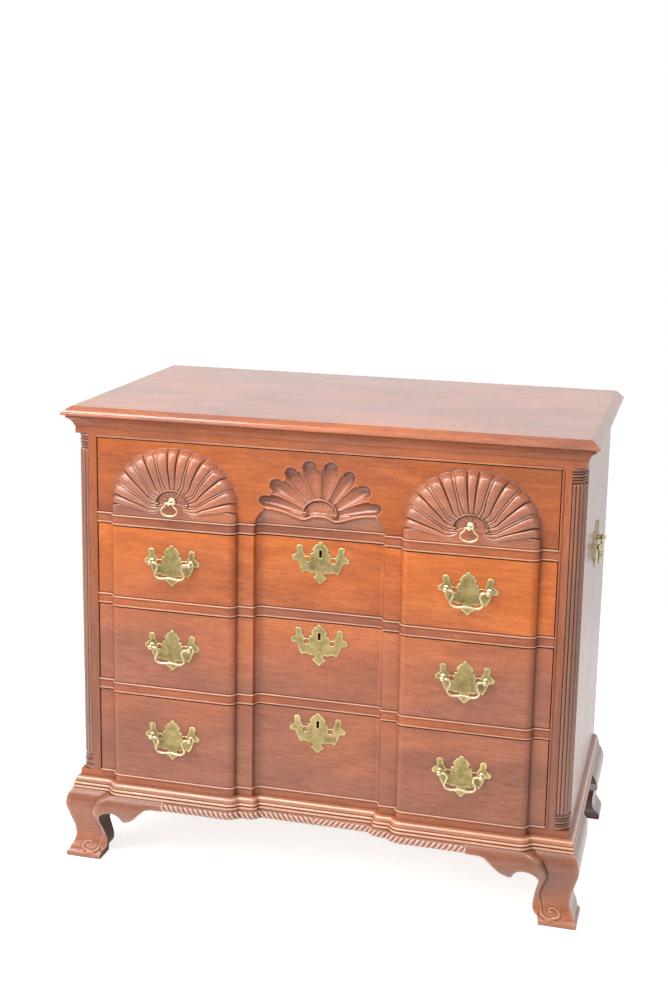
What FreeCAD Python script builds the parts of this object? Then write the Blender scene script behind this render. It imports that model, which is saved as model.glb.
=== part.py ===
import FreeCAD, Part
import math
import os

import Sketcher
from FreeCAD import Placement, Rotation, Vector

# Block front chest of drawers, millimetres.
#
# The front is blocked: two raised panels stand proud of the drawer fronts, with
# a sunk panel between them, and rails, base moulding and feet follow the same
# line. Four drawers run between reeded quarter columns, on ogee bracket feet.
#
# The pieces are drawn with X across the front and zero at its middle, Y running
# back from the flat face of the stiles, and Z up from the floor. Each piece's
# placement then moves it back or forward so that the origin lies under the
# middle of the whole chest, on the floor.

DOC = FreeCAD.newDocument("block_front_chest")

DRIVING_SIZES = {
    # Carcase
    "case_width": 911.0,
    "case_depth": 489.5,
    "side_thickness": 22.0,
    "back_thickness": 12.0,
    "bottom_thickness": 13.0,
    "stile_face": 16.5,
    "stile_depth": 45.0,
    "divider_thickness": 20.0,
    "divider_depth": 60.0,
    "top_rail_height": 38.4,
    "bottom_rail_height": 17.0,
    "rail_tongue": 4.5,
    "bead_radius": 2.0,
    # Drawer openings, from the top
    "opening_1_height": 137.0,
    "opening_2_height": 132.0,
    "opening_3_height": 145.0,
    "opening_4_height": 160.0,
    # Blocking, as the plan of the front
    "block_outer": 385.0,
    "block_inner": 149.0,
    "recess_half": 118.5,
    "block_rise": 14.0,
    "recess_fall": 14.0,
    "arris_radius": 1.6,
    "recess_cove": 12.0,
    # Quarter columns
    "column_radius": 24.4,
    "column_turning": 31.0,
    "reed_sink": 1.2,
    # Top board and its bed moulding
    "top_board_thickness": 15.6,
    "top_overhang": 20.5,
    "rear_overhang": 22.0,
    "top_bead_radius": 3.0,
    "top_hollow_width": 13.0,
    "bed_moulding_height": 20.5,
    "bed_moulding_reach": 13.5,
    "bed_fillet": 5.5,
    # Base moulding and feet
    "base_moulding_height": 22.5,
    "base_moulding_reach": 12.5,
    "base_frame_width": 60.0,
    "foot_height": 135.5,
    "foot_bulge": 22.5,
    "foot_waist": 8.6,
    "foot_pad_reach": 23.5,
    "foot_stock": 22.0,
    "foot_leg_width": 44.0,
    "rear_leg_width": 60.0,
    "front_bracket_length": 173.0,
    "bracket_scroll_length": 108.0,
    "raised_foot_spread": 9.0,
    "side_bracket_length": 157.0,
    "rear_bracket_length": 120.0,
    "glue_block_side": 18.0,
    "glue_block_lift": 12.0,
    "gadroon_height": 15.0,
    "gadroon_reach": 20.0,
    # Drawers
    "front_thickness": 26.0,
    "drawer_side_gap": 1.5,
    "drawer_top_gap": 1.8,
    "drawer_bottom_gap": 1.0,
    "runner_clearance": 0.3,
    "runner_width": 35.0,
    "runner_thickness": 18.0,
    "guide_height": 24.0,
    "drawer_back_clearance": 11.5,
    "drawer_side_thickness": 11.0,
    "drawer_back_thickness": 11.0,
    "drawer_side_drop": 8.0,
    "drawer_bottom_thickness": 7.0,
    "drawer_bottom_lift": 7.0,
    "groove_depth": 5.0,
    "tail_depth": 14.0,
    "tail_margin": 4.0,
    # Shells carved on the top drawer
    "shell_half_width": 118.0,
    "shell_drop": 108.0,
    "shell_height": 97.0,
    "shell_rise": 17.0,
    "shell_seat_radius": 20.0,
    "hollow_half_width": 112.0,
    "hollow_height": 92.0,
    # Brass plates, posts and bails
    "plate_half_width": 52.0,
    "plate_half_height": 38.4,
    "plate_thickness": 1.6,
    "plate_eye_along": 23.4,
    "plate_eye_rise": 5.2,
    "plate_eye_radius": 4.4,
    "escutcheon_drop": 43.8,
    "pull_boring": 74.0,
    "post_rise": 7.0,
    "post_reach": 12.0,
    "post_neck_radius": 3.0,
    "post_ball_radius": 5.2,
    "post_foot_radius": 5.5,
    "post_foot_length": 2.4,
    "shank_radius": 2.2,
    "shank_clearance": 0.1,
    "nut_radius": 6.0,
    "nut_length": 4.0,
    "bail_wire_radius": 2.2,
    "pivot_clearance": 0.1,
    "bail_neck_half": 25.5,
    "bail_waist_half": 23.0,
    "bail_belly_half": 27.5,
    "bail_drop": 28.0,
    "bail_cusp": 1.6,
    # Small drop pulls in the shells
    "drop_plate_radius": 7.0,
    "drop_post_reach": 13.0,
    "drop_ball_radius": 5.0,
    "drop_wire_radius": 1.3,
    "drop_half_width": 15.0,
    "drop_neck_half": 6.6,
    "drop_length": 23.0,
    "drop_shoulder": 8.0,
    "drop_pull_rise": 3.0,
    # Carrying handles on the sides
    "handle_scale": 1.16,
    "handle_boring": 72.0,
    "handle_post_rise": 4.0,
    "handle_post_reach": 9.0,
    "handle_centre_y": 245.0,
    "handle_centre_z": 622.0,
    # Drawer locks
    "lock_width": 64.0,
    "lock_height": 46.0,
    "lock_thickness": 11.0,
    "bolt_width": 18.0,
    "bolt_thickness": 6.0,
    "bolt_height": 28.0,
    "bolt_throw": 8.0,
    "bolt_clearance": 0.3,
    "keyhole_radius": 3.0,
    "keyhole_slot": 4.6,
    "keyhole_length": 14.0,
    "keyhole_lift": 9.0,
}

# ---------------------------------------------------------------------------
# Sizes that remember the sheet expression they come from
# ---------------------------------------------------------------------------


class Size(float):
    """A length that carries the spreadsheet expression that gives it."""

    def __new__(cls, value, text):
        size = super().__new__(cls, value)
        size.text = text
        return size

    def __add__(self, other):
        return Size(float(self) + float(other), f"({self.text} + {text_of(other)})")

    def __radd__(self, other):
        return Size(float(other) + float(self), f"({text_of(other)} + {self.text})")

    def __sub__(self, other):
        return Size(float(self) - float(other), f"({self.text} - {text_of(other)})")

    def __rsub__(self, other):
        return Size(float(other) - float(self), f"({text_of(other)} - {self.text})")

    def __mul__(self, other):
        return Size(float(self) * float(other), f"({self.text} * {text_of(other)})")

    def __rmul__(self, other):
        return Size(float(other) * float(self), f"({text_of(other)} * {self.text})")

    def __truediv__(self, other):
        return Size(float(self) / float(other), f"({self.text} / {text_of(other)})")

    def __neg__(self):
        return Size(-float(self), f"(0 - {self.text})")


def text_of(value):
    """The expression text of a size or of a plain number."""
    if isinstance(value, Size):
        return value.text
    return f"{float(value):.6f}"


def make_sheet():
    """The sheet of driving sizes, with one named cell for each."""
    sheet = DOC.addObject("Spreadsheet::Sheet", "Sizes")
    for row, (name, value) in enumerate(DRIVING_SIZES.items(), start=1):
        sheet.set(f"A{row}", name)
        sheet.set(f"B{row}", str(value))
        sheet.setAlias(f"B{row}", name)
    DOC.recompute()
    return sheet


SHEET = make_sheet()


def size(name):
    """A driving size, read from the sheet."""
    return Size(float(SHEET.get(name)), f"Sizes.{name}")


# ---------------------------------------------------------------------------
# Levels and lines that several pieces share
# ---------------------------------------------------------------------------

CASE_HALF = size("case_width") / 2
CASE_BACK = size("case_depth")
INNER_HALF = CASE_HALF - size("side_thickness")
COLUMN_AXIS_X = CASE_HALF - size("column_radius")
OPENING_HALF = COLUMN_AXIS_X - size("stile_face")
BACK_FRONT = CASE_BACK - size("back_thickness")
DRAWER_LENGTH = BACK_FRONT - size("front_thickness") - size("drawer_back_clearance")

MOULDING_Z = size("foot_height")
CASE_BOTTOM = MOULDING_Z + size("base_moulding_height")
OPENING_BOTTOM = {4: CASE_BOTTOM + size("bottom_rail_height")}
OPENING_TOP = {}
for drawer_number in (4, 3, 2, 1):
    OPENING_TOP[drawer_number] = (
        OPENING_BOTTOM[drawer_number] + size(f"opening_{drawer_number}_height")
    )
    OPENING_BOTTOM[drawer_number - 1] = OPENING_TOP[drawer_number] + size("divider_thickness")
STILE_BOTTOM = OPENING_BOTTOM[4] - size("rail_tongue")
STILE_TOP = OPENING_TOP[1] + size("rail_tongue")
CASE_TOP = OPENING_TOP[1] + size("top_rail_height")
CHEST_TOP = CASE_TOP + size("top_board_thickness")

BLOCK_CENTRE = (size("block_outer") + size("block_inner")) / 2
BLOCK_FACE = -size("block_rise")
RECESS_FACE = size("recess_fall")
PLATE_FACE = BLOCK_FACE - size("plate_thickness")
PIVOT_Y = PLATE_FACE - size("post_reach")
PULL_REACH = size("post_ball_radius") - PIVOT_Y
FOOT_REACH = size("block_rise") + size("foot_bulge")
FRONT_REACH = max(PULL_REACH, FOOT_REACH)
CASE_REACH = CASE_BACK + size("rear_overhang")
STILE_PLANE = (FRONT_REACH - CASE_REACH) / 2

FACETS = 5

# ---------------------------------------------------------------------------
# Document helpers
# ---------------------------------------------------------------------------

NODES = []


def add_box(name, corner, lengths):
    """A rectangular board with its lowest corner and its three lengths bound to the sheet."""
    board = DOC.addObject("Part::Box", name)
    for side, length in zip(("Length", "Width", "Height"), lengths):
        board.setExpression(side, text_of(length))
    for axis, place in zip("xyz", corner):
        board.setExpression(f"Placement.Base.{axis}", text_of(place))
    return board


def add_cylinder(name, centre, radius, length, axis):
    """A rod from its first end's centre along +X, -Y, +Y or +Z."""
    rod = DOC.addObject("Part::Cylinder", name)
    turns = {
        "+X": Rotation(Vector(0, 1, 0), 90),
        "-Y": Rotation(Vector(1, 0, 0), 90),
        "+Y": Rotation(Vector(1, 0, 0), -90),
        "+Z": Rotation(),
    }
    rod.Placement = Placement(Vector(0, 0, 0), turns[axis])
    rod.setExpression("Radius", text_of(radius))
    rod.setExpression("Height", text_of(length))
    for letter, place in zip("xyz", centre):
        rod.setExpression(f"Placement.Base.{letter}", text_of(place))
    return rod


def add_fuse(name, pieces):
    """Pieces glued or worked into one solid."""
    joined = DOC.addObject("Part::MultiFuse", name)
    joined.Shapes = pieces
    joined.Refine = True
    return joined


def add_cut(name, base, tool):
    """A piece with another shape cut out of it."""
    remainder = DOC.addObject("Part::Cut", name)
    remainder.Base = base
    remainder.Tool = tool
    return remainder


def add_group(name, pieces):
    """Separate like pieces that share one node."""
    group = DOC.addObject("Part::Compound", name)
    group.Links = pieces
    return group


def add_mirror(name, source):
    """The left-hand copy of a right-hand piece."""
    copy = DOC.addObject("Part::Mirroring", name)
    copy.Source = source
    copy.Normal = Vector(1, 0, 0)
    return copy


def add_shape(name, shape):
    """A piece whose form comes from curves worked out here."""
    feature = DOC.addObject("Part::Feature", name)
    if not shape.Placement.isIdentity():
        shape = Part.makeCompound([shape])
    feature.Shape = shape
    return feature


def origin_plane(body, role):
    """One of a body's own origin planes."""
    for feature in body.Origin.OriginFeatures:
        if feature.Role == role:
            return feature
    raise ValueError(f"{body.Name} has no plane {role}")


def add_polygon_sketch(body, name, role, points):
    """A closed polygon in one of the body's planes, each corner pinned to the sheet."""
    sketch = body.newObject("Sketcher::SketchObject", name)
    sketch.AttachmentSupport = [(origin_plane(body, role), "")]
    sketch.MapMode = "FlatFace"
    count = len(points)
    for index, (start_x, start_y) in enumerate(points):
        end_x, end_y = points[(index + 1) % count]
        sketch.addGeometry(
            Part.LineSegment(Vector(start_x, start_y, 0), Vector(end_x, end_y, 0)), False
        )
    for index in range(count):
        following = (index + 1) % count
        sketch.addConstraint(Sketcher.Constraint("Coincident", index, 2, following, 1))
    for index, (place_x, place_y) in enumerate(points):
        for kind, place in (("DistanceX", place_x), ("DistanceY", place_y)):
            number = sketch.addConstraint(
                Sketcher.Constraint(kind, -1, 1, index, 1, float(place))
            )
            sketch.setExpression(f"Constraints[{number}]", text_of(place))
    return sketch


def add_padded_body(name, role, points, length):
    """A body made by padding one polygon."""
    body = DOC.addObject("PartDesign::Body", name)
    sketch = add_polygon_sketch(body, name + "_outline", role, points)
    pad = body.newObject("PartDesign::Pad", name + "_pad")
    pad.Profile = sketch
    pad.setExpression("Length", text_of(length))
    return body


def add_node(name, piece):
    """Names a finished piece and moves it to the chest's own origin."""
    piece.Label = name
    bound = dict(piece.ExpressionEngine).get(".Placement.Base.y")
    if bound is None:
        bound = dict(piece.ExpressionEngine).get("Placement.Base.y")
    if bound is None:
        piece.Placement.Base = Vector(0, float(STILE_PLANE), 0)
        piece.setExpression("Placement.Base.y", STILE_PLANE.text)
    else:
        piece.setExpression("Placement.Base.y", f"{bound} + {STILE_PLANE.text}")
    NODES.append(piece)
    return piece


# ---------------------------------------------------------------------------
# Curve helpers
# ---------------------------------------------------------------------------


def arc_steps(start, end, sag, steps=FACETS):
    """Points along a circular arc; its middle stands sag to the left of the chord."""
    (x0, y0), (x1, y1) = start, end
    chord = math.hypot(x1 - x0, y1 - y0)
    normal = (-(y1 - y0) / chord, (x1 - x0) / chord)
    middle = ((x0 + x1) / 2 + normal[0] * sag, (y0 + y1) / 2 + normal[1] * sag)
    arc = Part.Arc(Vector(x0, y0, 0), Vector(middle[0], middle[1], 0), Vector(x1, y1, 0))
    first, last = arc.FirstParameter, arc.LastParameter
    points = [arc.value(first + (last - first) * step / steps) for step in range(steps + 1)]
    if points[0].distanceToPoint(Vector(x0, y0, 0)) > points[-1].distanceToPoint(Vector(x0, y0, 0)):
        points.reverse()
    return [(point.x, point.y) for point in points[1:]]


def arc_about(centre, start, end):
    """The short arc about a centre from one point to another."""
    radius = start.distanceToPoint(centre)
    half_way = (start - centre) + (end - centre)
    half_way.normalize()
    return Part.Arc(start, centre + half_way * radius, end).toShape()


def spline_edge(points):
    """A smooth edge through points."""
    curve = Part.BSplineCurve()
    curve.interpolate([Vector(*point) for point in points])
    return curve.toShape()


def line_edge(start, end):
    """A straight edge."""
    return Part.LineSegment(Vector(*start), Vector(*end)).toShape()


def prism(wire, direction):
    """A solid swept from a flat closed wire."""
    return Part.Face(wire).extrude(Vector(*direction))


def mirrored(shape):
    """The same shape on the other side of the chest's middle."""
    return shape.mirror(Vector(0, 0, 0), Vector(1, 0, 0))


# ---------------------------------------------------------------------------
# Blocked outlines and mouldings
# ---------------------------------------------------------------------------

SMALLEST_COVE = 0.5
SHORTEST_WALL = 0.05
SHELL_ROOT = 1.0


def blocked_half(stand_off, half_width):
    """Edges of the blocked front line from the middle to half_width, stand_off proud of it."""
    rise = float(size("block_rise")) + stand_off
    floor = float(size("recess_fall")) - stand_off
    cove = max(float(size("recess_cove")) - stand_off, SMALLEST_COVE)
    wall = float(size("recess_half")) - stand_off
    inner_centre = float(size("block_inner")) + float(size("block_rise"))
    outer_centre = float(size("block_outer")) - float(size("block_rise"))
    reach = math.sqrt(rise * rise - stand_off * stand_off)
    floor_end, cove_centre, wall_edge, wall_front, arris_centre = recess_side(
        wall, floor, cove, float(size("arris_radius")) + stand_off, stand_off
    )
    arris_end = Vector(arris_centre.x, -stand_off, 0)
    inner_foot = Vector(inner_centre - reach, -stand_off, 0)
    inner_top = Vector(inner_centre, -rise, 0)
    edges = [
        line_edge((0, floor, 0), floor_end),
        arc_about(cove_centre, floor_end, wall_edge.Vertexes[0].Point),
        wall_edge,
        arc_about(arris_centre, wall_front, arris_end),
        line_edge(arris_end, inner_foot),
        arc_about(Vector(inner_centre, 0, 0), inner_foot, inner_top),
    ]
    if half_width <= outer_centre:
        edges.append(line_edge(inner_top, (half_width, -rise, 0)))
        return edges, Vector(half_width, -rise, 0)
    outer_top = Vector(outer_centre, -rise, 0)
    outer_foot = Vector(outer_centre + reach, -stand_off, 0)
    end = Vector(half_width, -stand_off, 0)
    edges.append(line_edge(inner_top, outer_top))
    edges.append(arc_about(Vector(outer_centre, 0, 0), outer_top, outer_foot))
    edges.append(line_edge(outer_foot, end))
    return edges, end


def recess_side(wall, floor, cove, arris, stand_off):
    """The side of the recess: a cove from the floor, a short wall and a rounded arris.

    Where the recess is too shallow for a wall, the cove meets the arris, and the
    first tenth of the arris takes the wall's place.
    """
    cove_y = floor - cove
    arris_centre = Vector(wall + arris, arris - stand_off, 0)
    if cove_y > arris_centre.y + SHORTEST_WALL:
        cove_centre = Vector(wall - cove, cove_y, 0)
        wall_back = Vector(wall, cove_y, 0)
        wall_front = Vector(wall, arris_centre.y, 0)
        wall_edge = line_edge(wall_back, wall_front)
    else:
        drop = arris_centre.y - cove_y
        across = math.sqrt((arris + cove) ** 2 - drop * drop)
        cove_centre = Vector(arris_centre.x - across, cove_y, 0)
        toward = (cove_centre - arris_centre).normalize()
        wall_back = arris_centre + toward * arris
        start = math.atan2(toward.y, toward.x) % (2 * math.pi)
        turn = start + 0.1 * (1.5 * math.pi - start)
        wall_front = arris_centre + Vector(math.cos(turn), math.sin(turn), 0) * arris
        wall_edge = arc_about(arris_centre, wall_back, wall_front)
    floor_end = Vector(cove_centre.x, floor, 0)
    return floor_end, cove_centre, wall_edge, wall_front, arris_centre


def blocked_wire(stand_off, half_width, back, height):
    """Closed outline of a blocked piece with a straight back, at one height."""
    half_width = float(half_width)
    back = float(back)
    edges, end = blocked_half(stand_off, half_width)
    edges.append(line_edge(end, (half_width, back, 0)))
    edges.append(line_edge((half_width, back, 0), (0, back, 0)))
    left = [mirrored(edge) for edge in edges]
    wire = Part.Wire(Part.__sortEdges__(edges + left))
    wire.translate(Vector(0, 0, height))
    return wire


def blocked_slab(half_width, back, levels, widen=False):
    """A blocked piece whose front stands proud by a different amount at each height."""
    wires = []
    for stand_off, height in levels:
        reach = float(half_width) + (stand_off if widen else 0.0)
        wires.append(blocked_wire(float(stand_off), reach, back, float(height)))
    return Part.makeLoft(wires, True, True)


def moulded_slab(levels, half_width, back):
    """A straight-fronted slab whose front and side edges carry a moulding."""
    wires = []
    for stand_off, height in levels:
        reach = float(half_width) + stand_off
        corners = [
            Vector(-reach, -stand_off, height),
            Vector(reach, -stand_off, height),
            Vector(reach, float(back), height),
            Vector(-reach, float(back), height),
        ]
        wires.append(Part.makePolygon(corners + corners[:1]))
    return Part.makeLoft(wires, True, True)


def bead_levels(bottom, radius):
    """Levels of a half-round bead that starts flush at its bottom edge."""
    levels = [(0.0, bottom)]
    for stand_off, height in arc_steps((0.0, bottom), (0.0, bottom + 2 * radius), -radius, 6):
        levels.append((abs(stand_off), height))
    return levels


def mitred_frame(frame, inner_half, inner_front):
    """A three-sided frame cut at the front corners into a front strip and two returns."""
    far = 2 * float(CASE_HALF)
    low = frame.BoundBox.ZMin - 1
    high = frame.BoundBox.ZMax - frame.BoundBox.ZMin + 2
    corner = Vector(float(inner_half), float(inner_front), low)
    outward = Vector(far, float(inner_front) + float(inner_half) - far, low)
    rear = Vector(far, far, low)
    inner_rear = Vector(float(inner_half), far, low)
    right_side = prism(Part.makePolygon([corner, outward, rear, inner_rear, corner]), (0, 0, high))
    left_side = mirrored(right_side)
    front = frame.cut([right_side, left_side])
    return [front, frame.common(left_side), frame.common(right_side)]


# ---------------------------------------------------------------------------
# Carcase
# ---------------------------------------------------------------------------


def make_top_board():
    """The top: a flat board, hollowed edge over a bead on the front and both ends."""
    reach = float(size("top_overhang"))
    bead = float(size("top_bead_radius"))
    hollow = float(size("top_hollow_width"))
    low = float(CASE_TOP)
    high = float(CHEST_TOP)
    bead_top = low + 1.9 * bead
    levels = [(reach - bead, low)]
    levels += [
        (stand_off, height)
        for stand_off, height in arc_steps(
            (reach - bead, low), (reach - bead, low + 2 * bead), -bead, 6
        )
        if height < bead_top
    ]
    slope_start = (reach - 1.2 * bead, bead_top)
    slope_end = (reach - 1.2 * bead - hollow, high)
    levels.append(slope_start)
    levels += arc_steps(slope_start, slope_end, -1.2, FACETS)
    add_node("top_board", add_shape("TopBoard", moulded_slab(levels, CASE_HALF, CASE_REACH)))


def make_top_moulding():
    """The bed moulding under the top: a small cove and fillet, mitred at the front corners."""
    high = float(CASE_TOP)
    low = high - float(size("bed_moulding_height"))
    reach = float(size("bed_moulding_reach"))
    fillet_z = high - float(size("bed_fillet"))
    toe = 1.2
    levels = [(toe, low)]
    levels += arc_steps((toe, low), (reach - 1.5, fillet_z), 1.8, FACETS)
    levels += [(reach, fillet_z + 0.4), (reach, high)]
    frame = moulded_slab(levels, CASE_HALF, CASE_BACK)
    core = Part.makeBox(
        float(size("case_width")), float(CASE_BACK), high - low,
        Vector(-float(CASE_HALF), 0, low),
    )
    strips = mitred_frame(frame.cut(core), CASE_HALF, 0)
    add_node("top_moulding", add_shape("TopMoulding", Part.makeCompound(strips)))


def make_sides_and_back():
    """The two side panels, three back boards and the bottom board."""
    height = CASE_TOP - CASE_BOTTOM
    depth = CASE_BACK - size("column_radius")
    for name, corner_x in (
        ("side_panel_left", -CASE_HALF),
        ("side_panel_right", INNER_HALF),
    ):
        panel = add_box(
            name, (corner_x, size("column_radius"), CASE_BOTTOM),
            (size("side_thickness"), depth, height),
        )
        add_node(name, panel)
    board_count = 3
    joint_gap = 0.4
    board_height = height / board_count
    boards = [
        add_box(
            f"BackBoard{index}",
            (-INNER_HALF, BACK_FRONT, CASE_BOTTOM + board_height * index),
            (INNER_HALF * 2, size("back_thickness"), board_height - joint_gap),
        )
        for index in range(board_count)
    ]
    add_node("back_boards", add_group("BackBoards", boards))
    bottom = add_box(
        "BottomBoard",
        (-INNER_HALF, size("stile_depth"), CASE_BOTTOM),
        (INNER_HALF * 2, BACK_FRONT - size("stile_depth"), size("bottom_thickness")),
    )
    add_node("bottom_board", bottom)


def make_stiles():
    """The front stiles, notched for the quarter columns, each with a bead at the openings."""
    length = STILE_TOP - STILE_BOTTOM
    outline = [
        (OPENING_HALF, 0),
        (COLUMN_AXIS_X, 0),
        (COLUMN_AXIS_X, size("column_radius")),
        (INNER_HALF, size("column_radius")),
        (INNER_HALF, size("stile_depth")),
        (OPENING_HALF, size("stile_depth")),
    ]
    post = add_padded_body("StilePost", "XY_Plane", outline, length)
    post.setExpression("Placement.Base.z", text_of(STILE_BOTTOM))
    bead = add_cylinder(
        "StileBead",
        (OPENING_HALF + size("bead_radius"), 0, OPENING_BOTTOM[4]),
        size("bead_radius"), OPENING_TOP[1] - OPENING_BOTTOM[4], "+Z",
    )
    right = add_fuse("StileRight", [post, bead])
    left = add_mirror("StileLeft", right)
    add_node("front_stiles", add_group("FrontStiles", [right, left]))


def corner_blocks(name, low, high):
    """The square ends of a rail, over or under the quarter columns."""
    radius = size("column_radius")
    return [
        add_box(f"{name}Right", (OPENING_HALF, 0, low), (CASE_HALF - OPENING_HALF, radius, high - low)),
        add_box(f"{name}Left", (-CASE_HALF, 0, low), (CASE_HALF - OPENING_HALF, radius, high - low)),
        add_box(
            f"{name}Back",
            (-INNER_HALF, radius, low), (INNER_HALF * 2, size("stile_depth") - radius, high - low),
        ),
    ]


def make_rails():
    """The flat top rail, the blocked bottom rail and the three blocked drawer dividers."""
    tongue = add_box(
        "TopRailTongue",
        (-OPENING_HALF, 0, OPENING_TOP[1]),
        (OPENING_HALF * 2, size("stile_depth"), CASE_TOP - OPENING_TOP[1]),
    )
    bead = add_cylinder(
        "TopRailBead",
        (-OPENING_HALF, 0, OPENING_TOP[1] + size("bead_radius")),
        size("bead_radius"), OPENING_HALF * 2, "+X",
    )
    blocks = corner_blocks("TopRailEnd", STILE_TOP, CASE_TOP)
    add_node("top_rail", add_fuse("TopRail", [tongue, bead] + blocks))

    radius = float(size("bead_radius"))
    bead_bottom = float(OPENING_BOTTOM[4]) - 2 * radius
    levels = [(0.0, float(CASE_BOTTOM))] + bead_levels(bead_bottom, radius)
    middle = add_shape("BottomRailMiddle", blocked_slab(OPENING_HALF, size("stile_depth"), levels))
    blocks = corner_blocks("BottomRailEnd", CASE_BOTTOM, STILE_BOTTOM)
    add_node("bottom_rail", add_fuse("BottomRail", [middle] + blocks))

    for number in (1, 2, 3):
        low = float(OPENING_TOP[number + 1])
        high = float(OPENING_BOTTOM[number])
        levels = bead_levels(low, radius) + bead_levels(high - 2 * radius, radius)
        strip = add_shape(
            f"DividerStrip{number}", blocked_slab(OPENING_HALF, size("divider_depth"), levels)
        )
        mortise = bolt_mortise(f"Mortise{number}", low)
        add_node(f"divider_{number}", add_cut(f"Divider{number}", strip, mortise))


def bolt_mortise(name, low):
    """The pocket in a divider's underside that the lock's bolt below it shoots into."""
    clearance = size("bolt_clearance") + 0.5
    width = size("bolt_width") + clearance * 2
    thickness = size("bolt_thickness") + clearance * 2
    return add_box(
        name,
        (width / -2, bolt_front() - clearance, low),
        (width, thickness, size("bolt_throw") + 1.0),
    )


def bolt_front():
    """The front face of a lock's bolt, in the middle of the lock's thickness."""
    return size("front_thickness") + (size("lock_thickness") - size("bolt_thickness")) / 2


def make_runners():
    """A runner under each end of each drawer, with a guide strip on top of it."""
    strips = []
    start = size("divider_depth")
    length = BACK_FRONT - start
    for number in (1, 2, 3, 4):
        top = OPENING_BOTTOM[number]
        thickness = size("runner_thickness")
        if number == 4:
            thickness = top - CASE_BOTTOM - size("bottom_thickness")
        width = size("runner_width")
        runner = add_box(
            f"RunnerRight{number}",
            (INNER_HALF - width, start, top - thickness), (width, length, thickness),
        )
        guide = add_box(
            f"GuideRight{number}",
            (OPENING_HALF, start, top), (INNER_HALF - OPENING_HALF, length, size("guide_height")),
        )
        for strip in (runner, guide):
            strips += [strip, add_mirror(strip.Name.replace("Right", "Left"), strip)]
    add_node("drawer_runners", add_group("DrawerRunners", strips))


# ---------------------------------------------------------------------------
# Quarter columns
# ---------------------------------------------------------------------------

REEDS = 5


def reeded_section(radius, sink):
    """A quarter disc whose rim is a row of round reeds, about the column's axis."""
    axis = Vector(float(COLUMN_AXIS_X), float(size("column_radius")), 0)
    start_angle = -90.0
    step = 90.0 / REEDS

    def rim(angle, reach):
        turn = math.radians(angle)
        return axis + Vector(math.cos(turn), math.sin(turn), 0) * reach

    edges = []
    for reed in range(REEDS):
        first = start_angle + step * reed
        edges.append(
            Part.Arc(
                rim(first, radius - sink),
                rim(first + step / 2, radius),
                rim(first + step, radius - sink),
            ).toShape()
        )
    edges.append(line_edge(rim(0, radius - sink), axis))
    edges.append(line_edge(axis, rim(start_angle, radius - sink)))
    return Part.Wire(Part.__sortEdges__(edges))


def turned_end(height, radius, low, upward):
    """The turned rings at one end of a column, as a quarter turning."""
    shares = [
        (0.00, 0.93), (0.03, 0.99), (0.11, 1.00), (0.20, 0.98), (0.235, 0.90),
        (0.26, 0.90), (0.29, 0.97), (0.34, 0.97), (0.37, 0.89), (0.40, 0.89),
        (0.43, 0.98), (0.50, 0.99), (0.545, 0.94), (0.59, 0.99), (0.66, 0.98),
        (0.69, 0.89), (0.73, 0.89), (0.76, 0.96), (0.84, 0.96), (0.87, 0.88), (1.00, 0.88),
    ]
    points = [Vector(0, 0, 0)]
    for along, out in shares:
        points.append(Vector(out * radius, 0, along * height))
    points.append(Vector(0, 0, height))
    turning = Part.Face(Part.makePolygon(points + points[:1]))
    turning = turning.revolve(Vector(0, 0, 0), Vector(0, 0, 1), 90)
    turning.rotate(Vector(0, 0, 0), Vector(0, 0, 1), -90)
    if not upward:
        turning = turning.mirror(Vector(0, 0, 0), Vector(0, 0, 1))
    turning.translate(Vector(float(COLUMN_AXIS_X), float(size("column_radius")), low))
    return turning


def make_columns():
    """Reeded quarter columns with turned bases and capitals, let into the front corners."""
    radius = float(size("column_radius"))
    turning = float(size("column_turning"))
    low = float(STILE_BOTTOM)
    high = float(STILE_TOP)
    shaft_radius = 0.96 * radius
    section = reeded_section(shaft_radius, float(size("reed_sink")))
    section.translate(Vector(0, 0, low + turning))
    shaft = prism(section, (0, 0, high - low - 2 * turning))
    base = turned_end(turning, radius, low, True)
    capital = turned_end(turning, radius, high, False)
    column = shaft.fuse([base, capital])
    add_node("quarter_column_right", add_shape("ColumnRight", column))
    add_node("quarter_column_left", add_shape("ColumnLeft", mirrored(column)))


# ---------------------------------------------------------------------------
# Base moulding, gadrooned strip and feet
# ---------------------------------------------------------------------------


def make_base_moulding():
    """The moulded base frame that carries the case: a large rounded edge over two beads."""
    low = float(MOULDING_Z)
    high = float(CASE_BOTTOM)
    height = high - low
    reach = float(size("base_moulding_reach"))
    bead_out = 0.92 * reach
    middle_out = 0.72 * reach
    levels = [(bead_out, low)]
    levels += arc_steps(levels[-1], (bead_out, low + 0.24 * height), bead_out - reach, 4)
    levels.append((middle_out, low + 0.27 * height))
    levels += arc_steps(levels[-1], (middle_out, low + 0.54 * height), -0.16 * reach, 4)
    levels.append((0.58 * reach, low + 0.57 * height))
    levels.append((0.66 * reach, low + 0.60 * height))
    levels += arc_steps(levels[-1], (1.0, high), -0.18 * reach, FACETS)
    outer = blocked_slab(CASE_HALF, CASE_BACK, levels, widen=True)
    width = float(size("base_frame_width"))
    inner_half = float(CASE_HALF) - width
    opening = Part.makeBox(
        2 * inner_half, float(CASE_BACK), height + 2, Vector(-inner_half, width, low - 1)
    )
    strips = mitred_frame(outer.cut(opening), inner_half, width)
    add_node("base_moulding", add_shape("BaseMoulding", Part.makeCompound(strips)))


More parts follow.
